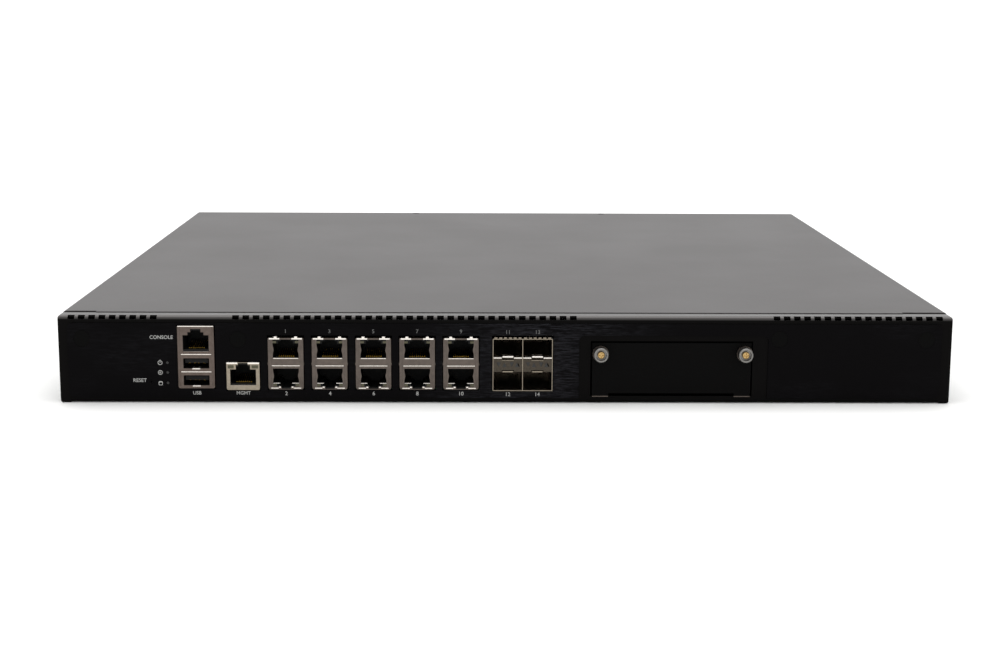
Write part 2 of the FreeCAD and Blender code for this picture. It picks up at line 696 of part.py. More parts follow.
def bay_cage():
    """Sleeve of sheet steel that guides a module, with a threaded ear in each upper corner."""
    left, right, bottom, top = BAY
    wall = 0.8
    back = BAY_DEEP
    front = SHEET + 0.05
    sleeve = box(left - wall, right + wall, front, back, bottom - wall, top + wall)
    sleeve = sleeve.cut(box(left, right, front - 1, back + 1, bottom, top))
    ears = []
    for x in SCREW_X:
        edge = left - wall / 2 if x < (left + right) / 2 else right + wall / 2
        x0, x1 = sorted((edge, x + math.copysign(4.0, (left + right) / 2 - x)))
        ears.append(box(x0, x1, EAR_FRONT, EAR_FRONT + 3, SCREW_Z - 4, SCREW_Z + 3.6))
    cage = fuse([sleeve] + ears)
    return cage.cut([rod(THREAD_RADIUS + 0.05, (x, EAR_FRONT - 1, SCREW_Z), (x, EAR_FRONT + 5, SCREW_Z))
                     for x in SCREW_X])


def bay_connector():
    """Edge socket that a module would plug into."""
    body = box(62, 100, BAY_DEEP + 2, BAY_DEEP + 14, BOARD_TOP + 1, BOARD_TOP + 9)
    foot = box(62, 100, BAY_DEEP + 5, BAY_DEEP + 14, BOARD_TOP, BOARD_TOP + 1.1)
    return fuse([body, foot]).cut(box(64, 98, BAY_DEEP, BAY_DEEP + 9, BOARD_TOP + 4, BOARD_TOP + 6))


def module_blank():
    """Blank plate over the empty bay, flanged top and bottom, on two lower tabs."""
    left, right, bottom, top = BLANK
    front = -LABEL_THICK
    back = front + BLANK_THICK
    face = box(left, right, front, back, bottom + 0.8, top)
    pieces = [face,
              box(left, right, front + 0.2, 13, top - SHEET, top),
              box(left + BLANK_TAB, right - BLANK_TAB, front + 0.2, 14, bottom + 0.8, bottom + 1.8)]
    for x0 in (left + 0.2, right - BLANK_TAB - 0.1):
        pieces.append(box(x0, x0 + BLANK_TAB - 0.1, front, 4.0, bottom - 0.4, bottom + 0.9))
    blank = fuse(pieces)
    return blank.cut([rod(3.35, (x, front - 1, SCREW_Z), (x, back + 1, SCREW_Z)) for x in SCREW_X])


def screw_collars():
    """Ferrules pressed into the blank plate, each holding a captive screw and its spring."""
    front = -LABEL_THICK
    collars = []
    for x in SCREW_X:
        collar = fuse([rod(COLLAR_RADIUS, (x, front - 2.0, SCREW_Z), (x, front, SCREW_Z)),
                       rod(3.3, (x, front - 0.1, SCREW_Z), (x, 2.4, SCREW_Z))])
        collars.append(collar.cut([rod(2.5, (x, front - 3, SCREW_Z), (x, 1.6, SCREW_Z)),
                                   rod(1.65, (x, 0, SCREW_Z), (x, 3, SCREW_Z))]))
    return group(collars)


def thumbscrew(x):
    """Knurled knob pressed on a cross-recessed screw."""
    z = SCREW_Z
    knob = rod(KNOB_RADIUS, (x, KNOB_FRONT, z), (x, KNOB_BACK, z))
    grooves = []
    for i in range(24):
        angle = 2 * math.pi * i / 24
        cx = x + (KNOB_RADIUS + 0.12) * math.cos(angle)
        cz = z + (KNOB_RADIUS + 0.12) * math.sin(angle)
        grooves.append(rod(0.28, (cx, KNOB_FRONT + 0.6, cz), (cx, KNOB_BACK - 0.5, cz)))
    seat = rod(2.6, (x, KNOB_FRONT - 1, z), (x, KNOB_FRONT + 1.4, z))
    bore = rod(THREAD_RADIUS + 0.02, (x, KNOB_FRONT, z), (x, KNOB_BACK + 1, z))
    knob = knob.cut(grooves + [seat, bore])
    head = rod(2.3, (x, KNOB_FRONT + 0.4, z), (x, KNOB_FRONT + 1.4, z))
    shank = rod(THREAD_RADIUS, (x, KNOB_FRONT + 1.3, z), (x, THREAD_END, z))
    cross = [box(x - 1.6, x + 1.6, KNOB_FRONT - 1, KNOB_FRONT + 1.1, z - 0.35, z + 0.35),
             box(x - 0.35, x + 0.35, KNOB_FRONT - 1, KNOB_FRONT + 1.1, z - 1.6, z + 1.6)]
    return group([knob, head.fuse(shank).cut(cross)])


def screw_spring(x):
    """Coil spring that pushes a freed screw out of its thread."""
    wire, radius, turns = 0.22, 2.1, 5
    length = 4.4 - 2 * wire - 0.06
    helix = Part.makeHelix(length / turns, length, radius)
    section = Part.Wire(Part.Circle(V(radius, 0, 0), V(0, 1, 0), wire).toShape())
    coil = Part.Wire(helix).makePipeShell([section], True, True)
    coil.rotate(V(0, 0, 0), V(1, 0, 0), 90)
    coil.translate(V(x, 1.6 - wire - 0.03, SCREW_Z))
    return coil


# ---------------------------------------------------------------- fans

def fan_frame(x, z, size, rear, deep, hole):
    """Square ducted frame with corner holes, and a motor seat held by three struts."""
    frame = box(x - size / 2, x + size / 2, rear - deep, rear, z - size / 2, z + size / 2)
    duct = size / 2 - 1.0
    frame = frame.cut(rod(duct, (x, rear - deep - 1, z), (x, rear + 1, z)))
    if hole:
        frame = frame.cut([rod(1.75, (x + sx, rear - deep - 1, z + sz), (x + sx, rear + 1, z + sz))
                           for sx in (-hole, hole) for sz in (-hole, hole)])
    hub = size * 0.27
    struts = [rod(hub, (x, rear - 2.5, z), (x, rear - 0.5, z))]
    for i in range(3):
        strut = box(x, x + duct + 0.5, rear - 2.5, rear - 0.5, z - 0.9, z + 0.9)
        strut.rotate(V(x, 0, z), V(0, 1, 0), 90 + 120 * i)
        struts.append(strut)
    return fuse([frame] + struts)


def fan_rotor(x, z, size, rear, deep):
    """Hub with seven pitched blades."""
    hub = size * 0.27
    reach = size / 2 - 1.7
    y0, y1 = rear - deep + 2.0, rear - 3.2
    middle = (y0 + y1) / 2
    ring = rod(reach, (x, y0, z), (x, y1, z))
    blades = []
    for i in range(7):
        blade = box(x + hub - 1.5, x + size, middle - 14, middle + 14, z - 0.5, z + 0.5)
        blade.rotate(V(x, middle, z), V(1, 0, 0), 38)
        blade.rotate(V(x, middle, z), V(0, 1, 0), 360.0 * i / 7)
        blades.append(blade.common(ring))
    return fuse([rod(hub, (x, y0, z), (x, y1, z))] + blades)


def fan_frames():
    return group([fan_frame(x, FAN_Z, FAN, REAR, FAN_DEEP, FAN_HOLE) for x in FAN_X])


# ---------------------------------------------------------------- power supplies

def psu_cage():
    """Two open cells beside each other, under one top plate."""
    floor, (under, top) = SHEET, CAGE_TOP
    pieces = [box(x, x + CAGE_WALL, CAGE_FRONT, DEPTH, floor, top) for x in CAGE_WALLS]
    pieces.append(box(CAGE_WALLS[0], CAGE_WALLS[-1] + CAGE_WALL, CAGE_FRONT, DEPTH, under, top))
    pieces.append(box(CAGE_WALLS[-1], INNER_HALF - 0.2, REAR, DEPTH, floor, top))
    cage = fuse(pieces)
    return cage.cut(rod(1.55, (COVER_SCREW_X[1], COVER_SCREW_Y, under - 1),
                        (COVER_SCREW_X[1], COVER_SCREW_Y, top + 1)))


def power_board():
    """Upright board that joins both supplies, with a socket facing each."""
    y = 235.0
    pieces = [box(62, 209, y, y + BOARD_THICK, 4, 38)]
    for x in PSU_X:
        socket = box(x - 20, x + 20, y + BOARD_THICK, PSU_FRONT - 0.6, 14, 26)
        pieces.append(socket.cut(box(x - 18, x + 18, y + 5, PSU_FRONT, 18.8, 21.2)))
    return group(pieces)


def psu_case(xc):
    """Folded case of one supply: inlet window, punched grille, handle lugs and latch slot."""
    z0, z1 = PSU_Z
    half = PSU_WIDE / 2
    case = box(xc - half, xc + half, PSU_FRONT, PSU_REAR, z0, z1)
    case = case.cut(box(xc - half + PSU_WALL, xc + half - PSU_WALL, PSU_FRONT + PSU_WALL,
                        PSU_REAR - PSU_WALL, z0 + PSU_WALL, z1 - PSU_WALL))
    y, z = HANDLE_PIVOT
    lugs = []
    for side in (-1, 1):
        x0, x1 = sorted((xc + PSU_FAN_AT + side * (HANDLE_HALF + 2.0),
                         xc + PSU_FAN_AT + side * (HANDLE_HALF + 3.2)))
        lugs.append(box(x0, x1, PSU_REAR - 0.1, y + 2.6, z - 2.6, z + 2.6))
    case = fuse([case] + lugs)
    fan_x = xc + PSU_FAN_AT
    cuts = ring_slots(fan_x, PSU_MID, PSU_REAR - 1.5, PSU_REAR + 1,
                      ((3.5, 6.5), (8, 11), (12.5, 15.5)), 1.8)
    cuts.append(box(xc + INLET_AT - 10.1, xc + INLET_AT + 10.1, PSU_REAR - 2, PSU_REAR + 1,
                    PSU_MID - 13.9, PSU_MID + 13.9))
    cuts.append(box(xc - 18.5, xc + 18.5, PSU_FRONT - 1, PSU_FRONT + 2, 15, 25))
    cuts.append(box(xc + LATCH_AT - 0.7, xc + LATCH_AT + 2.7, PSU_REAR - 2, PSU_REAR + 1,
                    PSU_MID - 7.4, PSU_MID + 7.4))
    cuts.append(rod(1.05, (xc + LATCH_AT, LATCH_PIVOT_Y, z0 - 1), (xc + LATCH_AT, LATCH_PIVOT_Y, z1 + 1)))
    cuts.append(rod(HANDLE_WIRE + 0.05, (xc - 40, y, z), (xc + 40, y, z)))
    return case.cut(cuts)


def psu_inlet(xc):
    """Power inlet with its three blades, set upright."""
    x, z = xc + INLET_AT, PSU_MID
    body = fuse([box(x - 11.3, x + 11.3, PSU_REAR, PSU_REAR + 1.6, z - 15.3, z + 15.3),
                 box(x - 10, x + 10, PSU_REAR - 19, PSU_REAR + 0.1, z - 13.8, z + 13.8)])
    mouth = prism([(x - 8.2, z - 12.1), (x + 5.4, z - 12.1), (x + 8.2, z - 9.3),
                   (x + 8.2, z + 9.3), (x + 5.4, z + 12.1), (x - 8.2, z + 12.1)],
                  PSU_REAR - 14.5, PSU_REAR + 3)
    body = body.cut(mouth)
    blades = [box(x + dx - 2, x + dx + 2, PSU_REAR - 15, PSU_REAR - 0.5, z + dz - 1, z + dz + 1)
              for dx, dz in ((1.8, -7), (1.8, 7), (-4.2, 0))]
    return fuse([body] + blades)


def psu_board(xc):
    """Converter board with its transformer, chokes and capacitors."""
    floor = 3.4
    pieces = [box(xc - 34, xc + 34, 252, 396, floor, floor + 1.6),
              box(xc - 26, xc + 8, 300, 332, floor + 1.6, 34),
              box(xc + 14, xc + 30, 270, 296, floor + 1.6, 28),
              box(xc - 30, xc - 27, 262, 296, floor + 1.6, 30)]
    for x, y in ((-20, 350), (0, 350), (20, 350), (-10, 374), (12, 374)):
        pieces.append(rod(8.0, (xc + x, y, floor + 1.6), (xc + x, y, floor + 29)))
    return group(pieces)


def psu_handle(xc):
    """Wire bail that hangs from two lugs and swings up to pull the supply out."""
    y, z = HANDLE_PIVOT
    middle = xc + PSU_FAN_AT
    low = z - HANDLE_DROP
    r = HANDLE_WIRE
    pieces = []
    for side in (-1, 1):
        x = middle + side * HANDLE_HALF
        pieces.append(rod(r, (x, y, z), (x, y, low)))
        pieces.append(rod(r, (x, y, z), (x + side * 4.0, y, z)))
        pieces.append(Part.makeSphere(r, V(x, y, z)))
        pieces.append(Part.makeSphere(r, V(x, y, low)))
    pieces.append(rod(r, (middle - HANDLE_HALF, y, low), (middle + HANDLE_HALF, y, low)))
    return fuse(pieces)


def psu_latch(xc):
    """Sprung release lever, turning on an upright pin inside the case."""
    x = xc + LATCH_AT
    z0, z1 = PSU_Z
    lever = box(x - 0.5, x + 0.5, LATCH_PIVOT_Y, LATCH_END, PSU_MID - 7, PSU_MID + 7)
    tab = box(x - 0.5, x + 1.6, LATCH_END - 1.2, LATCH_END, PSU_MID - 7, PSU_MID + 7)
    pin = rod(1.0, (x, LATCH_PIVOT_Y, z0 + 0.1), (x, LATCH_PIVOT_Y, z1 - 0.1))
    return fuse([lever, tab, pin])


# ---------------------------------------------------------------- rear switch

def switch_housing():
    half_x, half_z = SWITCH_WIDE / 2, SWITCH_HIGH / 2
    x, z = SWITCH_X, SWITCH_Z
    flange = box(x - half_x - 1, x + half_x + 1, DEPTH, DEPTH + 1.6, z - half_z - 1, z + half_z + 1)
    body = box(x - half_x + 0.1, x + half_x - 0.1, DEPTH - 14, DEPTH + 0.1,
               z - half_z + 0.1, z + half_z - 0.1)
    well = box(x - 4.9, x + 4.9, DEPTH - 8, DEPTH + 3, z - 8.0, z + 8.0)
    pins = [box(x - 2.4, x + 2.4, DEPTH - 21, DEPTH - 13.9, z + dz - 0.4, z + dz + 0.4)
            for dz in (-5, 5)]
    return fuse([flange, body] + pins).cut([
        well, rod(0.85, (x - 6.0, ROCKER_PIVOT_Y, z), (x + 6.0, ROCKER_PIVOT_Y, z))])


def power_rocker():
    """Rocker with a shallow V face, drawn pressed in at its upper half."""
    x, z, y = SWITCH_X, SWITCH_Z, ROCKER_PIVOT_Y
    face = [(y - 2.2, z - 7.0), (y + 5.6, z - 7.2), (y + 4.2, z), (y + 5.6, z + 7.2), (y - 2.2, z + 7.0)]
    rocker = fuse([strip(face, x - 4.6, x + 4.6), rod(0.8, (x - 5.8, y, z), (x + 5.8, y, z))])
    rocker.rotate(V(x, y, z), V(1, 0, 0), ROCKER_TILT)
    return rocker


# ---------------------------------------------------------------- all pieces

def all_nodes():
    nodes = {
        "chassis_tray": chassis_tray(), "rear_panel": rear_panel(),
        "front_label": front_label(), "front_studs": front_studs(),
        "top_cover": top_cover(), "cover_screws": cover_screws(),
        "console_usb_shell": console_usb_shell(), "console_usb_insert": console_usb_insert(),
        "jack_shells": jack_shells(), "jack_inserts": jack_inserts(),
        "jack_contacts": jack_contacts(), "jack_leds": jack_leds(),
        "sfp_cage": sfp_cage(), "sfp_connectors": sfp_connectors(),
        "light_pipes": light_pipes(),
        "reset_button": reset_button(), "reset_switch": reset_switch(),
        "mainboard": mainboard(), "board_standoffs": board_standoffs(),
        "machine_screws": machine_screws(), "processor": processor(),
        "cpu_heatsink": cpu_heatsink(), "chip_heatsink": chip_heatsink(),
        "board_chips": board_chips(), "dimm_sockets": dimm_sockets(),
        "memory_modules": memory_modules(), "storage_module": storage_module(),
        "coin_cell": coin_cell(),
        "bay_cage": bay_cage(), "bay_connector": bay_connector(),
        "module_blank": module_blank(), "screw_collars": screw_collars(),
        "fan_frames": fan_frames(),
        "psu_cage": psu_cage(), "power_board": power_board(),
        "switch_housing": switch_housing(), "power_rocker": power_rocker(),
    }
    for side, x in zip(("left", "right"), SCREW_X):
        nodes["thumbscrew_" + side] = thumbscrew(x)
        nodes["screw_spring_" + side] = screw_spring(x)
    for i, x in enumerate(FAN_X, 1):
        nodes[f"fan_rotor_{i}"] = fan_rotor(x, FAN_Z, FAN, REAR, FAN_DEEP)
    for name, xc in zip(("psu_a", "psu_b"), PSU_X):
        fan_x, fan_rear = xc + PSU_FAN_AT, PSU_REAR - PSU_WALL - 0.1
        nodes[name + "_case"] = psu_case(xc)
        nodes[name + "_inlet"] = psu_inlet(xc)
        nodes[name + "_board"] = psu_board(xc)
        nodes[name + "_fan_frame"] = fan_frame(fan_x, PSU_MID, PSU_FAN, fan_rear, FAN_DEEP, 0)
        nodes[name + "_fan_rotor"] = fan_rotor(fan_x, PSU_MID, PSU_FAN, fan_rear, FAN_DEEP)
        nodes[name + "_handle"] = psu_handle(xc)
        nodes[name + "_latch"] = psu_latch(xc)
    return nodes


def main():
    os.makedirs("parts", exist_ok=True)
    total = FreeCAD.BoundBox()
    for name, shape in all_nodes().items():
        shape.translate(V(0, -MIDDLE_Y, 0))
        total.add(shape.BoundBox)
        bad = [s for s in shape.Solids if not s.isValid() or s.Volume <= 0]
        print(f"{name}: {len(shape.Solids)} solids, {shape.Volume / 1000:.2f} cm3",
              "INVALID" if bad or not shape.Solids else "")
        shape.exportStep(f"parts/{name}.step")
    print("box", total)


main()
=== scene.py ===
# %% [markdown]
# # A one-unit firewall appliance
# A firewall is a flat steel case full of network sockets. The case, boards, fans and supplies
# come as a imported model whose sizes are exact, and this script gives them their finish. It also
# adds the small formed details that a CAD model leaves out. The first cell loads that model.

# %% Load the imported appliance
import json
import math
import bmesh
import bpy
from mathutils import Matrix, Vector


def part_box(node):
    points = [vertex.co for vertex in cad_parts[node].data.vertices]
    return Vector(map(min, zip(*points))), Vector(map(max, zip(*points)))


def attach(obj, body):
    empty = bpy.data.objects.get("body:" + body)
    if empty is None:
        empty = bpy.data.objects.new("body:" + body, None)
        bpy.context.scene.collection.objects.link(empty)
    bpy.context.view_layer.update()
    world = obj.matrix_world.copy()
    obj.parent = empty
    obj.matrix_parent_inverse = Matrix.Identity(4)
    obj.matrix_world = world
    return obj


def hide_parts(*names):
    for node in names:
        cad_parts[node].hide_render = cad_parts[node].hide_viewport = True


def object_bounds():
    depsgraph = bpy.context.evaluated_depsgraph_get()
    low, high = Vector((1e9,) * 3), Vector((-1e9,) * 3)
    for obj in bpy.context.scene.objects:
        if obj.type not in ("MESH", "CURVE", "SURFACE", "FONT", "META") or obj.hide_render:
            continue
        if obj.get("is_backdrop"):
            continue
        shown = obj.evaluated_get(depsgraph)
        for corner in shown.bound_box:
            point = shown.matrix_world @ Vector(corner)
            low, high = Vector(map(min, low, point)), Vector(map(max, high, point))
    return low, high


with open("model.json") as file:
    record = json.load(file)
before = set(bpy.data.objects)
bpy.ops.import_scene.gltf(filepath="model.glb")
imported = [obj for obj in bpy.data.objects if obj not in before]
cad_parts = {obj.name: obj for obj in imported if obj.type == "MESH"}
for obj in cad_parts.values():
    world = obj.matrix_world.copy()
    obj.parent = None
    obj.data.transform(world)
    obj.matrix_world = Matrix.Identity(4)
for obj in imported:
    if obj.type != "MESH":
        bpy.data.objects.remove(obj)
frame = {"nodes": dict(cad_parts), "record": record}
cad_box = [list(corner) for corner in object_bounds()]
MM = 0.001
print("nodes", len(frame["nodes"]), "box", cad_box)

# %% [markdown]
# ## Where things are
# Every place below is in millimetres, measured from the front wall's outer face (depth 0), so a
# size reads as it would on a drawing. The sockets' places come from the openings that the packed
# record states, so a detail can't drift away from its socket.

# %% Places taken from the frame
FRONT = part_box("chassis_tray")[0].y / MM
LABEL_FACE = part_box("front_label")[0].y / MM - FRONT
SHELL_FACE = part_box("jack_shells")[0].y / MM - FRONT
OPENINGS = {o["name"]: o["box_m"] for o in frame["record"]["physics"]["openings"]}


def limits(node):
    """(left, right, bottom, top) of a CAD node seen from the front, in millimetres."""
    low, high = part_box(node)
    return low.x / MM, high.x / MM, low.z / MM, high.z / MM


def middle_of(opening):
    low, high = OPENINGS[opening]
    return (low[0] + high[0]) / 2 / MM


STACKS = [middle_of(f"lan_jack_{2 * i + 1}") for i in range(5)]
print("front wall at", round(FRONT, 2), "stack centres", [round(x, 2) for x in STACKS])

# %% [markdown]
# ## Colour and node helpers
# Paint and plating colours are easiest to pick as sRGB hex values, but a shader works in linear
# light, so one function converts them. Another adds a node with its settings and its links, which
# keeps each material down to the few lines that make it special.

# %% Helpers for materials


def linear(hex_colour):
    """sRGB "#rrggbb" as linear RGBA."""
    channels = [int(hex_colour[i:i + 2], 16) / 255 for i in (1, 3, 5)]
    return tuple(c / 12.92 if c <= 0.04045 else ((c + 0.055) / 1.055) ** 2.4
                 for c in channels) + (1.0,)


def add(tree, kind, inputs=None, **settings):
    """Adds a node. An input given a socket is linked to it, and any other value is set."""
    made = tree.nodes.new("ShaderNode" + kind)
    for key, value in settings.items():
        setattr(made, key, value)
    for key, value in (inputs or {}).items():
        if isinstance(value, bpy.types.NodeSocket):
            tree.links.new(value, made.inputs[key])
        else:
            made.inputs[key].default_value = value
    return made


def surface(name, **sockets):
    """A new material with its shader, and its own coordinates in millimetres."""
    made = bpy.data.materials.new(name)
    made.use_nodes = True
    tree = made.node_tree
    shader = tree.nodes["Principled BSDF"]
    for key, value in sockets.items():
        shader.inputs[key.replace("_", " ")].default_value = value
    place = add(tree, "TexCoord")
    scaled = add(tree, "VectorMath", {0: place.outputs["Object"], 1: (1000, 1000, 1000)},
                 operation="MULTIPLY")
    return made, tree, shader, scaled.outputs["Vector"]


def stretched(tree, vector, factors):
    """The coordinates squeezed by a factor along each axis, so that a pattern runs long there."""
    return add(tree, "VectorMath", {0: vector, 1: factors}, operation="MULTIPLY").outputs["Vector"]


def speckle(tree, vector, size_mm, detail=2.0, rough=0.5):
    """Soft noise whose lumps are about size_mm across."""
    return add(tree, "TexNoise", {"Vector": vector, "Scale": 1 / size_mm, "Detail": detail,
                                  "Roughness": rough}).outputs["Fac"]


def between(tree, factor, low, high, start=0.0, end=1.0):
    """Maps factor from start..end to low..high."""
    return add(tree, "MapRange", {"Value": factor, "From Min": start, "From Max": end,
                                  "To Min": low, "To Max": high}).outputs["Result"]


def mixed(tree, factor, first, second):
    """Colour between two hex colours or sockets."""
    inputs = {"Fac": factor}
    for key, colour in (("Color1", first), ("Color2", second)):
        inputs[key] = linear(colour) if isinstance(colour, str) else colour
    return add(tree, "MixRGB", inputs).outputs["Color"]


def bumped(tree, shader, height, strength, distance_mm):
    bump = add(tree, "Bump", {"Height": height, "Strength": strength,
                              "Distance": distance_mm * MM})
    tree.links.new(bump.outputs["Normal"], shader.inputs["Normal"])


def plug(tree, shader, **sockets):
    for key, socket in sockets.items():
        tree.links.new(socket, shader.inputs[key.replace("_", " ")])


print("material helpers ready")

# %% [markdown]
# ## Painted steel
# The lid is steel sprayed with powder and baked. The powder flows into a fine orange peel, about
# a millimetre across, which breaks a reflection into a dull grey sheen when it is seen at a low
# angle. The tray has a smoother and duller black. Along the top of its lip, where the metal faces
# up, the gloss is raised to paint a highlight on the bend. All are a dark base under a
# plastic film, so an ordinary dielectric shader suits them.

# %% Powder coat


def powder_coat(name, dark, light, roughness, grain_mm, strength, gloss):
    made, tree, shader, mm = surface(name, Metallic=0.0, IOR=1.5, Specular_IOR_Level=gloss,
                                     Specular_Tint=(1.0, 0.94, 0.92, 1.0))
    grain = speckle(tree, mm, grain_mm, 3.0, 0.6)
    cloud = speckle(tree, mm, 60.0, 3.0)
    plug(tree, shader, Base_Color=mixed(tree, grain, dark, light),
         Roughness=between(tree, cloud, roughness - 0.012, roughness + 0.012, 0.35, 0.65))
    bumped(tree, shader, grain, strength, 0.03)
    return made, tree, shader, mm


LIP_HEIGHTS = (40.0, 41.0)
UP_NORMALS = (0.1, 0.6)
LID_COAT = powder_coat("textured_powder_coat", "#1d1b1b", "#343030", 0.41, 1.1, 1.0, 0.5)[0]
PLATE_COAT = powder_coat("smooth_black_coat", "#070707", "#0b0b0b", 0.5, 0.4, 0.15, 0.025)[0]
TRAY_COAT, tree, shader, mm = powder_coat("satin_powder_coat", "#060606", "#0b0a0a", 0.3, 0.4,
                                          0.1, 0.04)
# The gloss is raised where the lip faces up and near its top: a painted highlight on the bend.
normal = add(tree, "TexCoord").outputs["Normal"]
facing = add(tree, "SeparateXYZ", {"Vector": normal}).outputs["Z"]
height = add(tree, "SeparateXYZ", {"Vector": mm}).outputs["Z"]
painted_lip_sheen = add(tree, "Math", {0: between(tree, facing, 0.0, 1.0, *UP_NORMALS),
                            1: between(tree, height, 0.0, 1.0, *LIP_HEIGHTS)},
             operation="MULTIPLY")
plug(tree, shader, Specular_IOR_Level=between(tree, painted_lip_sheen.outputs["Value"], 0.03, 1.0))
print("coats", LID_COAT.name, TRAY_COAT.name, PLATE_COAT.name)

# %% [markdown]
# ## Brushed black overlay
# The face is covered by a thin black plate whose surface was dragged along an abrasive belt. The
# belt leaves scratches a tenth of a millimetre wide and several long, all lying across the face.
# Noise stretched wide draws them, a little coarser than life so that they can be told apart from
# arm's length. They are drawn plainest near the middle and fade out towards both ends.

# %% Brushed overlay
SCRATCH_MM, SCRATCH_STRETCH = 0.45, (0.08, 1.0, 1.0)
PATCH_MM, PATCH_STRETCH = 38.0, (1.0, 1.0, 1.6)
PLAINEST_AT, FADES_BETWEEN = 12.0, (8.0, 60.0)


def brushed_overlay(name):
    made, tree, shader, mm = surface(name, Metallic=0.0, Specular_IOR_Level=0.03, Roughness=0.38)
    fine = speckle(tree, stretched(tree, mm, SCRATCH_STRETCH), SCRATCH_MM, 4.0, 0.75)
    patches = speckle(tree, stretched(tree, mm, PATCH_STRETCH), PATCH_MM, 2.0)
    across = add(tree, "SeparateXYZ", {"Vector": mm})
    off = add(tree, "Math", {0: across.outputs["X"], 1: PLAINEST_AT},
              operation="SUBTRACT").outputs["Value"]
    off = add(tree, "Math", {0: off}, operation="ABSOLUTE").outputs["Value"]
    shown = add(tree, "Math", {0: between(tree, off, 0.75, 0.0, *FADES_BETWEEN),
                               1: between(tree, patches, 0.0, 0.15, 0.45, 0.65)},
                operation="ADD").outputs["Value"]
    streak = add(tree, "Math", {0: between(tree, fine, 0.0, 1.0, 0.45, 0.8), 1: shown},
                 operation="MULTIPLY").outputs["Value"]
    plug(tree, shader, Base_Color=mixed(tree, streak, "#060506", "#37373c"))
    bumped(tree, shader, fine, 0.2, 0.02)
    return made


OVERLAY = brushed_overlay("brushed_black_overlay")
print("overlay", OVERLAY.name)

# %% [markdown]
# ## Plated and bare metals
# Socket cans are thin steel with a nickel plate, which is warmer than chrome and never quite
# mirror smooth. Cages and brackets inside are zinc coated, and the zinc cools in crystals a few
# millimetres across, called spangle. Heat sinks are extruded aluminium with fine lines along
# their length. All are full metals, so only colour, roughness and a faint bump change.

# %% Metals


def metal(name, dull, bright, roughness, size_mm, stretch=(1.0, 1.0, 1.0), bump=0.1):
    made, tree, shader, mm = surface(name, Metallic=1.0)
    grain = speckle(tree, stretched(tree, mm, stretch), size_mm, 4.0, 0.6)
    shade = between(tree, grain, 0.0, 1.0, 0.3, 0.7)
    plug(tree, shader, Base_Color=mixed(tree, shade, dull, bright),
         Roughness=between(tree, grain, roughness - 0.06, roughness + 0.06, 0.3, 0.7))
    bumped(tree, shader, grain, bump, 0.02)
    return made


def spangled_zinc(name, dull, bright, roughness, size_mm):
    made, tree, shader, mm = surface(name, Metallic=1.0)
    crystals = add(tree, "TexVoronoi", {"Vector": mm, "Scale": 1 / size_mm, "Randomness": 1.0})
    shade = add(tree, "SeparateColor", {"Color": crystals.outputs["Color"]}).outputs["Red"]
    plug(tree, shader, Base_Color=mixed(tree, shade, dull, bright))
    plug(tree, shader, Roughness=between(tree, shade, roughness - 0.07, roughness + 0.07))
    return made


NICKEL = metal("nickel_plated_steel", "#554e49", "#645b55", 0.36, 2.2)
WARM_NICKEL = metal("warm_nickel_plated_steel", "#574d47", "#655b55", 0.36, 2.2)
# A near-white copy of the nickel: a painted highlight for edges that face the overhead lamp.
NICKEL_PAINTED_HIGHLIGHT = metal("nickel_painted_highlight", "#e6dfd6", "#faf5ee", 0.3, 1.0)
CAGE_NICKEL = metal("tinned_nickel_silver", "#877e70", "#9b9182", 0.34, 1.8)
CAGE_PLATE = metal("dull_cage_plate", "#3d3832", "#4d473f", 0.4, 0.9)
ZINC = spangled_zinc("zinc_coated_steel", "#8f9294", "#b4b7b9", 0.38, 5.0)
SCREW_STEEL = metal("plated_screw_steel", "#6c6a68", "#858380", 0.3, 0.6)
BRASSY = metal("yellow_passivated_zinc", "#a58350", "#d2b47c", 0.28, 0.5)
ALUMINIUM = metal("extruded_aluminium", "#b5b9bd", "#d0d3d6", 0.36, 0.5, (1.0, 0.03, 1.0))
WIRE = metal("plated_steel_wire", "#a9abae", "#c4c6c8", 0.22, 0.8)
GOLD = metal("gold_plated_bronze", "#a8842f", "#d8b050", 0.3, 0.5)
print("metals ready")

# %% [markdown]
# ## Plastics, lenses and circuit board
# Socket bodies and fans are glass-filled polyester, a dull black with a faint sparkle of fibre.
# The rocker and latches are smooth ABS and nylon. A circuit board is glass cloth under a green
# lacquer: tracks show through as slightly lighter lines, drawn here as a grid of cells a few
# millimetres long, because the real tracks are too fine to see.

# %% Plastics and board


def moulded(name, dark, light, roughness, size_mm=0.5, **sockets):
    made, tree, shader, mm = surface(name, Metallic=0.0, IOR=1.5, **sockets)
    grain = speckle(tree, mm, size_mm, 3.0, 0.6)
    plug(tree, shader, Base_Color=mixed(tree, grain, dark, light))
    plug(tree, shader, Roughness=between(tree, grain, roughness - 0.05, roughness + 0.05))
    bumped(tree, shader, grain, 0.12, 0.02)
    return made


def circuit_board(name):
    made, tree, shader, mm = surface(name, Metallic=0.0, IOR=1.5, Coat_Weight=0.3,
                                     Coat_Roughness=0.15)
    tracks = add(tree, "TexBrick", {"Vector": mm, "Scale": 1.0, "Mortar Size": 0.12,
                                    "Brick Width": 5.2, "Row Height": 0.9,
                                    "Color1": linear("#123f27"), "Color2": linear("#174a2e"),
                                    "Mortar": linear("#1f6038")})
    cloth = speckle(tree, mm, 0.6)
    tint = mixed(tree, between(tree, cloth, 0.0, 0.35), tracks.outputs["Color"], "#0c2a1a")
    plug(tree, shader, Base_Color=tint, Roughness=between(tree, cloth, 0.32, 0.42))
    return made


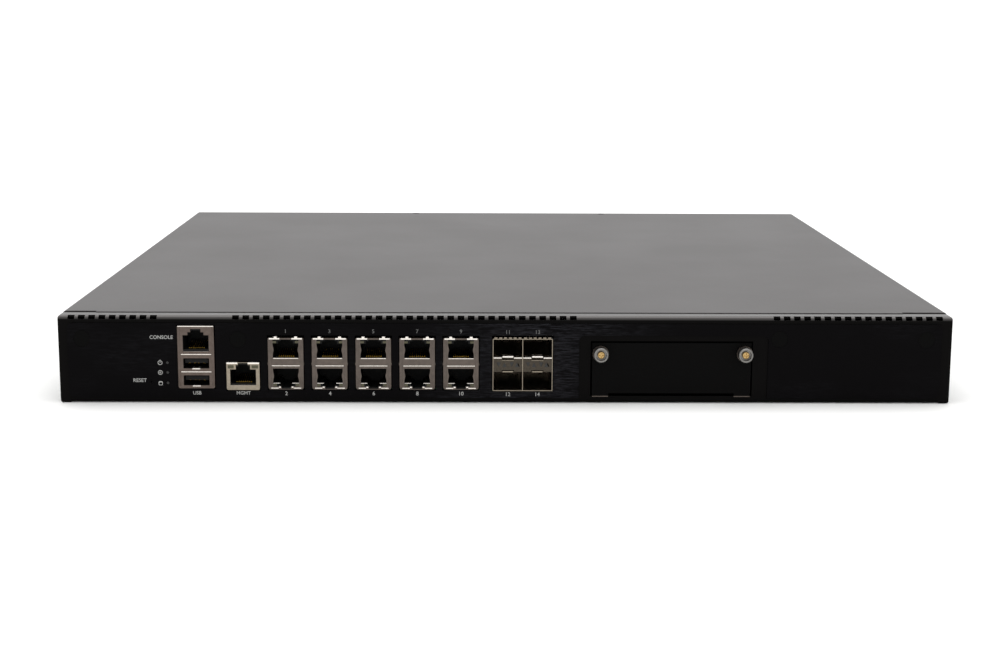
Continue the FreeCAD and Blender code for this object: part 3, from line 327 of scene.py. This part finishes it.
POLYESTER = moulded("glass_filled_polyester", "#0a0a0b", "#121213", 0.5)
DARK_INSERT = moulded("socket_polyester", "#050505", "#0a0a0a", 0.6, Specular_IOR_Level=0.2)
FAN_PLASTIC = moulded("fan_polyester", "#17181a", "#202124", 0.45)
ABS = moulded("black_abs", "#131314", "#19191a", 0.32, 0.9)
NYLON = moulded("green_nylon", "#1c6b46", "#237a52", 0.4, 0.9)
EPOXY = moulded("chip_epoxy", "#19191b", "#232326", 0.5, 0.4)
AMBER_LENS = moulded("tinted_lens", "#2c2914", "#45401a", 0.3, 1.2, Coat_Weight=0.2)
CLEAR_LENS = moulded("clear_lens", "#070706", "#0e0d0b", 0.35, 1.2, Coat_Weight=0.02)
UNLIT_LENS = moulded("unlit_lens", "#040403", "#080706", 0.4, 1.2, Specular_IOR_Level=0.03)
INK = moulded("screen_printed_ink", "#8f8f8d", "#b0b0ad", 0.6, 0.6)
FAINT_INK = moulded("thin_screen_printed_ink", "#505050", "#6a6a68", 0.6, 0.6)
BOARD = circuit_board("green_circuit_board")
print("plastics ready")

# %% [markdown]
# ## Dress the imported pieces
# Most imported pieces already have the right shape, so each only swaps its plain colour for a real
# finish. One table says which finish goes on which pieces, and anything left out is printed.

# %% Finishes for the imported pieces
FINISHES = {
    LID_COAT: ("top_cover",),
    TRAY_COAT: ("chassis_tray", "rear_panel", "bay_cage"),
    PLATE_COAT: ("module_blank", "front_studs"),
    OVERLAY: ("front_label",),
    NICKEL: ("console_usb_shell", "jack_shells", "screw_collars"),
    CAGE_NICKEL: ("sfp_cage",),
    ZINC: ("psu_cage", "psu_a_case", "psu_b_case"),
    SCREW_STEEL: ("machine_screws", "screw_spring_left", "screw_spring_right", "coin_cell",
                  "board_standoffs", "thumbscrew_left", "thumbscrew_right"),
    DARK_INSERT: ("console_usb_insert", "jack_inserts", "sfp_connectors"),
    POLYESTER: ("dimm_sockets", "bay_connector", "reset_switch", "cover_screws"),
    FAN_PLASTIC: ("fan_frames", "psu_a_fan_frame", "psu_b_fan_frame", "psu_a_fan_rotor",
                  "psu_b_fan_rotor") + tuple(f"fan_rotor_{i}" for i in range(1, 5)),
    ABS: ("power_rocker", "switch_housing", "psu_a_inlet", "psu_b_inlet", "reset_button"),
    NYLON: ("psu_a_latch", "psu_b_latch"),
    EPOXY: ("board_chips", "processor"),
    ALUMINIUM: ("cpu_heatsink", "chip_heatsink"),
    WIRE: ("psu_a_handle", "psu_b_handle"),
    GOLD: ("jack_contacts",),
    AMBER_LENS: ("jack_leds",),
    CLEAR_LENS: ("light_pipes",),
    BOARD: ("mainboard", "power_board", "psu_a_board", "psu_b_board", "memory_modules",
            "storage_module"),
}
for finish, names in FINISHES.items():
    for name in names:
        for place in frame["nodes"][name].material_slots:
            place.material = finish
undressed = set(frame["nodes"]) - {n for names in FINISHES.values() for n in names}
print("finishes", len(FINISHES), "undressed", sorted(undressed))

# %% [markdown]
# ## Tools for formed sheet metal
# A pressed plate is an outline with holes in it. A flat curve fills such an outline by itself,
# gives it thickness and rounds its edges, so it is the quickest way to a clean stamped part. The
# curve is then turned into a mesh, so that every piece ends as plain geometry.

# %% Shape helpers
TURN_UP = Matrix.Rotation(math.pi / 2, 4, "X")


def finish_piece(obj, material, body, replaced=()):
    """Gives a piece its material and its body."""
    obj.data.materials.clear()
    obj.data.materials.append(material)
    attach(obj, body)
    if replaced:
        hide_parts(*replaced)
    return obj


def show(name, mesh):
    obj = bpy.data.objects.new(name, mesh)
    bpy.context.scene.collection.objects.link(obj)
    return obj


def rounded(x0, x1, z0, z1, radii, steps=5):
    """Outline of a rectangle, anticlockwise from the lower left, with one radius per corner."""
    if not isinstance(radii, tuple):
        radii = (radii,) * 4
    corners = ((x0, z0, 1, 1), (x1, z0, -1, 1), (x1, z1, -1, -1), (x0, z1, 1, -1))
    outline = []
    for i, ((x, z, sx, sz), radius) in enumerate(zip(corners, radii)):
        if radius == 0:
            outline.append((x, z))
            continue
        for step in range(steps + 1):
            angle = math.pi / 2 * (i + 2 + step / steps)
            outline.append((x + sx * radius + radius * math.cos(angle),
                            z + sz * radius + radius * math.sin(angle)))
    return outline


def stamped(name, outlines, depth, thick, edge):
    """Mesh of a plate with holes: the first outline is its rim. depth is its front face."""
    curve = bpy.data.curves.new(name, "CURVE")
    curve.dimensions = "2D"
    curve.fill_mode = "BOTH"
    curve.extrude = (thick / 2 - edge) * MM
    curve.bevel_depth = edge * MM
    curve.bevel_resolution = 1
    curve.offset = -edge * MM
    for number, outline in enumerate(outlines):
        points = outline if number == 0 else outline[::-1]
        spline = curve.splines.new("POLY")
        spline.points.add(len(points) - 1)
        for point, (x, z) in zip(spline.points, points):
            point.co = (x * MM, z * MM, 0, 1)
        spline.use_cyclic_u = True
    flat = bpy.data.objects.new(name, curve)
    mesh = bpy.data.meshes.new_from_object(flat)
    mesh.transform(Matrix.Translation((0, (FRONT + depth + thick / 2) * MM, 0)) @ TURN_UP)
    bpy.data.objects.remove(flat)
    bpy.data.curves.remove(curve)
    return mesh


def block(x0, x1, y0, y1, z0, z1, edge=0.12, segments=2):
    """Mesh of a box with rounded edges, in millimetres from the front wall."""
    shape = bmesh.new()
    bmesh.ops.create_cube(shape, size=1.0)
    size = Vector((x1 - x0, y1 - y0, z1 - z0)) * MM
    middle = Vector(((x0 + x1) / 2, FRONT + (y0 + y1) / 2, (z0 + z1) / 2)) * MM
    for vertex in shape.verts:
        vertex.co = Vector(a * b for a, b in zip(vertex.co, size)) + middle
    bmesh.ops.bevel(shape, geom=list(shape.edges), offset=edge * MM, segments=segments,
                    affect="EDGES", profile=0.5)
    mesh = bpy.data.meshes.new("block")
    shape.to_mesh(mesh)
    shape.free()
    return mesh


def turned(profile, x, z, around=48, knurl=None):
    """Mesh of a turned part along the depth axis. profile is (depth, radius) points."""
    shape = bmesh.new()
    rings = []
    for depth, radius in profile:
        ring = []
        for i in range(around):
            angle = 2 * math.pi * i / around
            r = radius + (knurl(depth, angle) if knurl else 0.0)
            ring.append(shape.verts.new(((x + r * math.cos(angle)) * MM, (FRONT + depth) * MM,
                                         (z + r * math.sin(angle)) * MM)))
        rings.append(ring)
    for first, second in zip(rings, rings[1:]):
        for i in range(around):
            j = (i + 1) % around
            shape.faces.new((first[i], first[j], second[j], second[i]))
    shape.faces.new(rings[0][::-1])
    shape.faces.new(rings[-1])
    bmesh.ops.recalc_face_normals(shape, faces=shape.faces)
    mesh = bpy.data.meshes.new("turned")
    shape.to_mesh(mesh)
    shape.free()
    return mesh


def merged(name, meshes, smooth_deg=35):
    """One object out of several meshes, smooth except where its faces meet at an edge."""
    whole = bmesh.new()
    for mesh in meshes:
        whole.from_mesh(mesh)
        bpy.data.meshes.remove(mesh)
    result = bpy.data.meshes.new(name)
    whole.to_mesh(result)
    whole.free()
    result.shade_smooth()
    result.set_sharp_from_angle(angle=math.radians(smooth_deg))
    return show(name, result)


print("shape helpers ready")

# %% [markdown]
# ## The two-high jack stacks
# Each stack of network sockets wears a can folded from thin plated steel. Seen from the front it
# is a frame round two mouths. A sprung tongue is pressed into each side of each mouth to touch
# the plug's own shield, so the sides swell inwards. The band between the mouths has a rolled lip
# and a ridge. The face is stamped from one outline with two holes, and the lips, ridges and the
# grounding bumps on top are small rounded bars laid onto it. The bars are a near-white copy of the
# nickel, a painted highlight for the light they catch.

# %% Cans of the jack stacks
LAN_SIDE = 8.7
MOUTH_HALF = 6.3
LATCH_HALF = 2.3
TONGUE_SWELL = 0.45
TONGUE_HALF = 2.6
UPPER_MOUTH = (22.6, 31.75)
LOWER_MOUTH = (8.3, 17.3)
STACK_TOP = 32.5
STACK_BOTTOM = 6.8
STACK_DEEP = 24.0
SHEET = 0.3
FACE_EDGE = 0.08


def mouth(centre, z0, z1, tongue_z, notch=None, steps=8):
    """A rectangular mouth whose two sides swell inwards round tongue_z. notch is the height that
    the plug's latch slot reaches below the mouth."""
    def side(sign, start, end):
        points = []
        for i in range(steps + 1):
            z = start + (end - start) * i / steps
            swell = TONGUE_SWELL * 0.5 * (1 + math.cos(math.pi * (z - tongue_z) / TONGUE_HALF))
            points.append((centre + sign * (MOUTH_HALF - swell), z))
        return points
    low, high = tongue_z - TONGUE_HALF, tongue_z + TONGUE_HALF
    slot = []
    if notch:
        slot = [(centre - LATCH_HALF, z0), (centre - LATCH_HALF, notch),
                (centre + LATCH_HALF, notch), (centre + LATCH_HALF, z0)]
    return ([(centre - MOUTH_HALF, z0)] + slot + [(centre + MOUTH_HALF, z0)] + side(1, low, high)
            + [(centre + MOUTH_HALF, z1), (centre - MOUTH_HALF, z1)] + side(-1, high, low))


def bar(centre, inner, outer, front, back, z0, z1, edge=0.12, segments=2):
    """Mesh of a bar between two offsets from centre. Depths are measured from the shells' face."""
    x0, x1 = sorted((centre + inner, centre + outer))
    return block(x0, x1, SHELL_FACE + front, SHELL_FACE + back, z0, z1, edge, segments)


def stack_can(centre):
    rim = rounded(centre - LAN_SIDE, centre + LAN_SIDE, STACK_BOTTOM, STACK_TOP,
                  (1.4, 1.4, 0.5, 0.5))
    face = stamped("face", [rim, mouth(centre, *UPPER_MOUTH, 26.6),
                            mouth(centre, *LOWER_MOUTH, 13.6, STACK_BOTTOM + 0.35)],
                   SHELL_FACE, SHEET, FACE_EDGE)
    inner = rounded(centre - LAN_SIDE + SHEET, centre + LAN_SIDE - SHEET, STACK_BOTTOM + SHEET,
                    STACK_TOP - SHEET, (0.9, 0.9, 0.3, 0.3))
    walls = stamped("walls", [rim, inner], SHELL_FACE + 0.1, STACK_DEEP, 0.05)
    meshes = [face, walls]
    for side in (-1, 1):
        bulge = side * (LAN_SIDE - 0.05)
        meshes.append(bar(centre, side * 7.05, bulge, -0.12, 0.2, STACK_BOTTOM + 1.0,
                          STACK_TOP - 0.6))
        meshes.append(bar(centre, bulge - 0.35, bulge + 0.35, 0.0, 5.0, 18.9, 20.4, 0.3))
    return meshes


# offsets from the stack's middle, front and back, bottom and top, rounding, rounding steps
CENTRAL_BARS = ((-6.2, 6.2, -0.1, 1.4, 22.15, 22.55, 0.15, 3),     # lip of the upper mouth
                (-6.9, 6.9, -0.3, 0.2, 18.5, 18.9, 0.15, 3))       # ridge between the mouths
SIDE_BARS = ((2.9, 8.1, -0.15, 2.0, 31.8, 32.55, 0.15, 2),         # rolled top edge
             (4.15, 5.85, 0.15, 5.0, 32.2, 33.3, 0.4, 3),          # grounding bump
             (3.0, 6.3, 0.2, 1.6, 9.75, 10.05, 0.1, 2),            # tab in the lower corner
             (2.5, 3.7, -0.15, 1.0, 7.5, 8.35, 0.35, 3),           # curl beside the latch slot
             (3.6, 7.4, -0.1, 1.0, 7.2, 7.75, 0.2, 2))             # bottom edge


def painted_highlight_edges(centre):
    """The edges that are rolled or sprung towards the light, in nickel with a painted highlight.
    """
    meshes = [bar(centre, *sizes) for sizes in CENTRAL_BARS]
    for side in (-1, 1):
        for near, far, *sizes in SIDE_BARS:
            meshes.append(bar(centre, side * near, side * far, *sizes))
    return meshes


cans = merged("jack_stack_cans", [m for x in STACKS for m in stack_can(x)])
finish_piece(cans, NICKEL, "chassis")
# The rolled edges, lips, ridges and bumps are near-white nickel: a painted highlight.
edges = merged("jack_stack_painted_highlights", [m for x in STACKS for m in painted_highlight_edges(x)])
finish_piece(edges, NICKEL_PAINTED_HIGHLIGHT, "chassis")
print("stack cans", len(cans.data.polygons), "faces")

# %% [markdown]
# ## The single jacks and the USB pair
# The management jack is one mouth with a stepped slot for the plug's latch. The console jack and
# the USB pair share one tall can. Their lower lips lie flat and look up at the light, so they are
# separate bars in a near-white nickel, a painted highlight. A sprung tab is bent up at the bottom
# of each USB mouth.

# %% Cans of the single jacks
CAN_DEEP = 18.0
USB_BOTTOMS, USB_HIGH = (17.3, 8.8), 5.0


def latch_mouth(centre, z0, z1, steps):
    """A mouth with a stepped latch slot on top. steps is (half width, height) from the bottom."""
    right = [(centre + MOUTH_HALF, z0), (centre + MOUTH_HALF, z1)]
    below = z1
    for half, height in steps:
        right += [(centre + half, below), (centre + half, height)]
        below = height
    return right + [(2 * centre - x, z) for x, z in right[::-1]]


def can(name, node, holes):
    left, right, bottom, top = limits(node)
    rim = rounded(left, right, bottom, top, (1.0, 1.0, 0.35, 0.35))
    inner = rounded(left + SHEET, right - SHEET, bottom + SHEET, top - SHEET,
                    (0.7, 0.7, 0.2, 0.2))
    return [stamped(name, [rim] + holes, SHELL_FACE, SHEET, FACE_EDGE),
            stamped(name, [rim, inner], SHELL_FACE + 0.1, CAN_DEEP, 0.05)]


console_x = middle_of("console_jack")
console_holes = [latch_mouth(console_x, 25.7, 33.8, ((3.9, 35.3), (2.5, 36.9)))]
for z in USB_BOTTOMS:
    console_holes.append(rounded(console_x - MOUTH_HALF, console_x + MOUTH_HALF, z, z + USB_HIGH,
                                 0.4))
console_meshes = can("console", "console_usb_shell", console_holes)
for side in (-1, 1):
    console_meshes.append(bar(console_x, side * 7.6, side * 8.9, -0.12, 0.2, 8.5, 37.6))
console_can = merged("console_usb_can", console_meshes)
finish_piece(console_can, WARM_NICKEL, "chassis", ("console_usb_shell",))

management_x = middle_of("management_jack")
MANAGEMENT = (management_x - 8.1, management_x + 8.1, 6.5, 20.3)
management_rim = rounded(*MANAGEMENT, (0.8, 0.8, 0.3, 0.3))
management_inner = rounded(MANAGEMENT[0] + SHEET, MANAGEMENT[1] - SHEET, 6.8, 20.0, 0.3)
management_holes = [latch_mouth(management_x, 8.9, 16.8, ((3.5, 19.0), (2.4, 20.0)))]
for x0, x1 in ((-7.4, -4.5), (4.2, 7.4)):
    management_holes.append(rounded(management_x + x0, management_x + x1, 17.3, 18.9, 0.1))
management_can = merged("management_can", [
    stamped("face", [management_rim] + management_holes, SHELL_FACE, SHEET, FACE_EDGE),
    stamped("walls", [management_rim, management_inner], SHELL_FACE + 0.1, CAN_DEEP, 0.05)])
finish_piece(management_can, CAGE_NICKEL, "chassis")
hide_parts("jack_shells")

# Lips, ridges and sprung tabs of the single jacks: near-white nickel, a painted highlight.
lips = [bar(console_x, -6.2, 6.2, 0.1, 6.0, 25.3, 25.75, 0.1),
        bar(console_x, -8.7, 8.7, -0.05, 6.0, 38.0, 38.45, 0.1),
        bar(management_x, -6.2, 6.2, 0.1, 4.0, 8.5, 8.95, 0.1)]
for z in (24.3, 15.6):
    lips.append(bar(console_x, -7.4, 7.4, -0.3, 0.2, z - 0.22, z + 0.22, 0.15, 3))
for side, inner_x in ((-1, 2.7), (1, 2.3)):
    lips.append(bar(management_x, side * inner_x, side * 8.0, -0.08, 3.0, 19.5, 20.35))
for z in (17.15, 8.55):
    lips.append(bar(console_x, -2.0, 2.0, -0.1, 3.5, z - 0.35, z + 0.25, 0.2))
lip_piece = merged("jack_lips", lips)
finish_piece(lip_piece, NICKEL_PAINTED_HIGHLIGHT, "chassis")
print("single cans", len(console_can.data.polygons), len(management_can.data.polygons))

# %% [markdown]
# ## The transceiver cage
# A transceiver cage is folded from springy metal a third of a millimetre thick, thinner than a
# solid model states it, so it is drawn again here. Two columns of two mouths are parted by a
# middle wall and a duller plate with arrow-shaped lenses for its lights. Sprung fingers along the
# top press on the case to keep radio noise in, and a tongue in each mouth catches the module. The
# walls are one outline pushed back; the fingers and tongues are small rounded bars.

# %% Walls, plates, fingers and tongues of the cage
CAGE_WALL = 0.34
CAGE_DEEP = 48.0
ROW_GAP = (15.9, 22.4)
ARROW_OFFSETS = (2.4, 5.4, 9.1, 12.1)
ARROW_HALF, ARROW_LOW, ARROW_HIGH = 0.85, 18.45, 20.5
FINGERS, FINGER_RISE = 6, 0.75
sfp_left, sfp_right, sfp_bottom, sfp_top = limits("sfp_cage")
sfp_top -= FINGER_RISE
sfp_middle = (sfp_left + sfp_right) / 2
COLUMNS = ((sfp_left + CAGE_WALL, sfp_middle - CAGE_WALL / 2),
           (sfp_middle + CAGE_WALL / 2, sfp_right - CAGE_WALL))
cage_rim = rounded(sfp_left, sfp_right, sfp_bottom, sfp_top, 0.35)
cage_holes = [rounded(x0, x1, sfp_bottom + CAGE_WALL, sfp_top - CAGE_WALL, 0.1)
              for x0, x1 in COLUMNS]
frames = [stamped("cage", [cage_rim] + cage_holes, SHELL_FACE, CAGE_DEEP, 0.05),
          stamped("back", [cage_rim], SHELL_FACE + CAGE_DEEP, SHEET, 0.0)]
plates, sills, arrows = [], [], []
for x0, x1 in COLUMNS:
    centre, half = (x0 + x1) / 2, (x1 - x0) / 2
    holes = [rounded(centre - 2.8, centre + 2.8, 21.75, 22.25, 0.1),
             rounded(centre - 3.0, centre + 3.0, 16.05, 16.6, 0.1)]
    for i, offset in enumerate(ARROW_OFFSETS):
        flat, tip = (ARROW_HIGH, ARROW_LOW) if i % 2 == 0 else (ARROW_LOW, ARROW_HIGH)
        arrow = [(x0 + offset - ARROW_HALF, flat), (x0 + offset + ARROW_HALF, flat),
                 (x0 + offset, tip)]
        arrows.append(stamped("arrow", [arrow], SHELL_FACE + 0.1, SHEET, 0.0))
    plates.append(stamped("plate", [rounded(x0, x1, *ROW_GAP, 0.0)] + holes, SHELL_FACE + 0.15,
                          SHEET, 0.04))
    for z in ROW_GAP:
        plates.append(bar(centre, -half, half, 0.2, CAGE_DEEP, z - 0.15, z + 0.15, 0.03, 1))
    sills += [bar(centre, 0.05 - half, -3.0, -0.05, 4.0, 22.5, 23.05, 0.1),
              bar(centre, 3.0, half - 0.05, -0.05, 4.0, 22.5, 23.05, 0.1),
              bar(centre, -2.7, 2.7, -0.3, 4.5, 23.0, 23.8, 0.2)]
    frames += [bar(centre, -2.6, 2.6, -0.1, 2.0, 15.6, 16.2, 0.15),
               bar(centre, -2.9, 2.9, 0.05, 0.5, 21.45, 21.7, 0.05)]
    for i in range(FINGERS):
        x = x0 + (i + 0.5) * (x1 - x0) / FINGERS
        frames.append(bar(x, -0.85, 0.85, 0.1, 6.0, sfp_top - 0.05, sfp_top + 0.7, 0.3, 3))
cage_walls = merged("transceiver_cage", frames)
finish_piece(cage_walls, CAGE_NICKEL, "chassis", ("sfp_cage",))
cage_plates = merged("cage_plates", plates)
finish_piece(cage_plates, CAGE_PLATE, "chassis")
arrow_lenses = merged("arrow_lenses", arrows)
finish_piece(arrow_lenses, UNLIT_LENS, "chassis")
# The sills under the upper mouths are near-white nickel, a painted highlight.
sill_piece = merged("cage_sills", sills)
finish_piece(sill_piece, NICKEL_PAINTED_HIGHLIGHT, "chassis")
print("cage columns", [(round(a, 1), round(b, 1)) for a, b in COLUMNS])

# %% [markdown]
# ## Tongues under the blank plate
# Two short tongues stand up from the bay's lower edge and steady the plate above them. They are
# unpainted, so each shows as one thin bright line.

# %% Bay tongues
TONGUE_WIDE = 8.0
blank_left, blank_right, blank_bottom, _ = limits("module_blank")
tongues = [block(x, x + TONGUE_WIDE, LABEL_FACE + 0.1, 3.0, blank_bottom - 0.65,
                 blank_bottom - 0.15, 0.1)
           for x in (blank_left + 0.1, blank_right - TONGUE_WIDE - 0.1)]
bay_tongues = merged("bay_tongues", tongues)
finish_piece(bay_tongues, NICKEL, "chassis")
print("blank", round(blank_left, 1), round(blank_right, 1), "bottom", round(blank_bottom, 1))

# %% [markdown]
# ## Captive screws
# Each screw that holds the blank plate is a knurled knob pressed onto a cross-headed screw. The
# knurl is rolled: small diamonds that cross at about half a millimetre, which a wave on the
# turned radius gives. The cross is cut out with a boolean, as the punch does on a real head.

# %% Knobs and their screws
KNOB_R = 3.6
KNOB_DEPTHS = (-6.8, -2.8)
KNURL_TURNS, KNURL_LEAD, KNURL_DEEP = 20, 1.1, 0.09
CROSS_HALF, CROSS_THIN = 1.3, 0.28


def knurl(depth, angle):
    """Radius change of a diamond knurl, none near the ends."""
    start, end = KNOB_DEPTHS
    if not start + 0.5 < depth < end - 0.3:
        return 0.0
    lead = 2 * math.pi * (depth - start) / KNURL_LEAD
    wave = KNURL_TURNS * angle
    return KNURL_DEEP * (math.sin(wave + lead) * math.sin(wave - lead))


def knob_mesh(x, z):
    start, end = KNOB_DEPTHS
    profile = [(start + 2.2, 1.5), (start + 2.2, 2.6), (start + 0.12, 2.65), (start, 2.77),
               (start, KNOB_R - 0.3), (start + 0.3, KNOB_R)]
    steps = 16
    for i in range(1, steps):
        profile.append((start + 0.3 + (end - start - 0.5) * i / steps, KNOB_R))
    profile += [(end - 0.2, KNOB_R), (end, KNOB_R - 0.2), (end, 1.6)]
    return turned(profile, x, z, 120, knurl)


def screw_mesh(x, z):
    start = KNOB_DEPTHS[0]
    profile = [(start + 0.3, 0.3), (start + 0.35, 0.9), (start + 0.5, 1.4), (start + 0.8, 1.75),
               (start + 1.2, 1.85), (start + 2.0, 1.85), (start + 2.0, 1.45), (7.1, 1.45),
               (7.3, 1.25)]
    return turned(profile, x, z)


def cross_cutter(x, z):
    front, back = KNOB_DEPTHS[0] - 1, KNOB_DEPTHS[0] + 1.3
    arms = [block(x - wide, x + wide, front, back, z - high, z + high, 0.05, 1)
            for wide, high in ((CROSS_HALF, CROSS_THIN), (CROSS_THIN, CROSS_HALF))]
    return merged("cutter", arms)


for side in ("left", "right"):
    low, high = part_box("thumbscrew_" + side)
    x, z = (low.x + high.x) / 2 / MM, (low.z + high.z) / 2 / MM
    body = "screw_" + side
    knob = merged("knob_" + side, [knob_mesh(x, z)])
    finish_piece(knob, SCREW_STEEL, body)
    screw = merged("captive_screw_" + side, [screw_mesh(x, z)])
    cutter = cross_cutter(x, z)
    cut = screw.modifiers.new("cross", "BOOLEAN")
    cut.object = cutter
    cut.solver = "EXACT"
    cut.use_self = True
    cut_mesh = bpy.data.meshes.new_from_object(screw.evaluated_get(
        bpy.context.evaluated_depsgraph_get()))
    screw.modifiers.clear()
    screw.data = cut_mesh
    bpy.data.objects.remove(cutter)
    finish_piece(screw, BRASSY, body)
    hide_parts("thumbscrew_" + side)
    print(body, "at", round(x, 1), round(z, 1), "faces", len(screw.data.polygons))

# %% [markdown]
# ## Printed legends
# The sockets are numbered, and a few words and three small symbols are screen printed in pale
# ink. Ink stands up about a hundredth of a millimetre; here it is a thin solid so that it lies
# cleanly over the brushed grain. Only plain words and numbers are used.

# %% Legends
INK_THICK = 0.03
INK_DEPTH = LABEL_FACE - INK_THICK


def legend(text, x, z, height, weight=0.0):
    """Mesh of one word centred on x with its middle at z. height is that of a capital."""
    curve = bpy.data.curves.new("legend", "FONT")
    curve.body = text
    curve.align_x = "CENTER"
    curve.align_y = "CENTER"
    curve.size = height / 0.7 * MM
    curve.extrude = INK_THICK / 2 * MM
    curve.offset = weight * MM
    curve.resolution_u = 3
    flat = bpy.data.objects.new("legend", curve)
    mesh = bpy.data.meshes.new_from_object(flat)
    mesh.transform(Matrix.Translation((x * MM, (FRONT + INK_DEPTH + INK_THICK / 2) * MM, z * MM))
                   @ TURN_UP)
    bpy.data.objects.remove(flat)
    bpy.data.curves.remove(curve)
    return mesh


def circle(x, z, radius, steps=28):
    return [(x + radius * math.cos(2 * math.pi * i / steps),
             z + radius * math.sin(2 * math.pi * i / steps)) for i in range(steps)]


def printed(outlines):
    return stamped("print", outlines, INK_DEPTH, INK_THICK, 0.0)


BOLD = 0.02
DIGIT_HIGH = 1.9
words = [legend(text, x, z, height, BOLD) for text, x, z, height in (
    ("CONSOLE", -168.8, 32.6, 1.75), ("RESET", -179.8, 11.1, 1.75),
    ("USB", console_x, 4.8, 1.7), ("MGMT", management_x, 4.8, 1.7))]
faint = []
for i, x in enumerate(STACKS):
    faint.append(legend(str(2 * i + 1), x, 35.7, DIGIT_HIGH))
    words.append(legend(str(2 * i + 2), x, 4.6, DIGIT_HIGH, BOLD))
for i, (x0, x1) in enumerate(COLUMNS):
    faint.append(legend(str(11 + 2 * i), (x0 + x1) / 2, 35.5, DIGIT_HIGH))
    words.append(legend(str(12 + 2 * i), (x0 + x1) / 2, 4.3, DIGIT_HIGH))
ICON_X, ICON_R, ICON_LINE = -169.7, 1.15, 0.28
POWER_Z, STATUS_Z = 20.0, 15.1
for z in (POWER_Z, STATUS_Z):
    words.append(printed([circle(ICON_X, z, ICON_R), circle(ICON_X, z, ICON_R - ICON_LINE)]))
words.append(printed([rounded(ICON_X - 0.13, ICON_X + 0.13, 19.9, 21.5, 0.05)]))
words.append(printed([circle(ICON_X, STATUS_Z, 0.45), circle(ICON_X, STATUS_Z, 0.2)]))
words.append(printed([rounded(ICON_X - 1.0, ICON_X + 1.0, 8.7, 10.7, 0.6),
                      rounded(ICON_X - 0.72, ICON_X + 0.72, 8.95, 10.15, 0.35)]))
prints = merged("printed_legends", words)
finish_piece(prints, INK, "chassis")
finish_piece(merged("printed_numbers", faint), FAINT_INK, "chassis")
print("legend faces", len(prints.data.polygons))

# %% [markdown]
# ## Floor, light and camera
# The appliance stands on a plain white floor in a bright, even room. One big soft lamp hangs
# overhead and grounds it with a faint shadow. The lid is seen at so low an angle that it mirrors
# the pale room and looks grey, while the face stays black. The camera is a short telephoto about
# fifteen centimetres above the lid, and it looks down by about eleven degrees.

# %% Studio
FLOOR_HALF = 6.0
SKY_STRENGTH = 1.08
LAMP_AT, LAMP_SIZE, LAMP_WATTS = (0.0, 0.2, 1.6), (1.8, 1.4), 12
floor_mesh = bpy.data.meshes.new("floor")
floor_mesh.from_pydata([(-FLOOR_HALF, -FLOOR_HALF, 0), (FLOOR_HALF, -FLOOR_HALF, 0),
                        (FLOOR_HALF, FLOOR_HALF, 0), (-FLOOR_HALF, FLOOR_HALF, 0)], [],
                       [(0, 1, 2, 3)])
floor = show("floor", floor_mesh)
floor.location.z = cad_box[0][2] - 0.0002
floor_paint, _, floor_shader, _ = surface("pale_floor", Base_Color=linear("#fbfbfa"),
                                          Roughness=0.8, Specular_IOR_Level=0.1)
floor.data.materials.append(floor_paint)
floor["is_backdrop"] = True

world = bpy.data.worlds.new("studio")
bpy.context.scene.world = world
world.use_nodes = True
sky = world.node_tree.nodes["Background"]
sky.inputs["Color"].default_value = (1.0, 1.0, 1.0, 1.0)
sky.inputs["Strength"].default_value = SKY_STRENGTH

lamp = bpy.data.lights.new("overhead", "AREA")
lamp.shape = "RECTANGLE"
lamp.size, lamp.size_y = LAMP_SIZE
lamp.energy = LAMP_WATTS
overhead = bpy.data.objects.new("overhead", lamp)
overhead.location = LAMP_AT
overhead.rotation_euler = (-Vector(LAMP_AT)).to_track_quat("-Z", "Y").to_euler()
bpy.context.scene.collection.objects.link(overhead)
bpy.context.scene.view_settings.view_transform = "Standard"
print("floor", FLOOR_HALF, "m half width, lamp", LAMP_WATTS, "W")

# %% Camera
CAMERA = Vector((-16.45, -821.97, 190.21))
TILT, ROLL, YAW = 79.291, -0.283, -0.858
LENS = 61.51
camera_data = bpy.data.cameras.new("camera")
camera_data.sensor_width = 36.0
camera_data.lens = LENS
camera = bpy.data.objects.new("camera", camera_data)
camera.location = (CAMERA + Vector((0, FRONT, 0))) * MM
camera.rotation_euler = [math.radians(a) for a in (TILT, ROLL, YAW)]
bpy.context.scene.collection.objects.link(camera)
bpy.context.scene.camera = camera
print("camera", [round(c, 3) for c in camera.location])

# %% [markdown]
# ## Finish
# The box round the visual model is measured, and how far it reaches past the imported model's box
# is printed.

# %% Print the sizes and finish
visual_box = [list(corner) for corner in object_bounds()]
grown = [round((v - c) / MM, 3) for a, b in zip(visual_box, cad_box) for v, c in zip(a, b)]
print("grown by", grown)
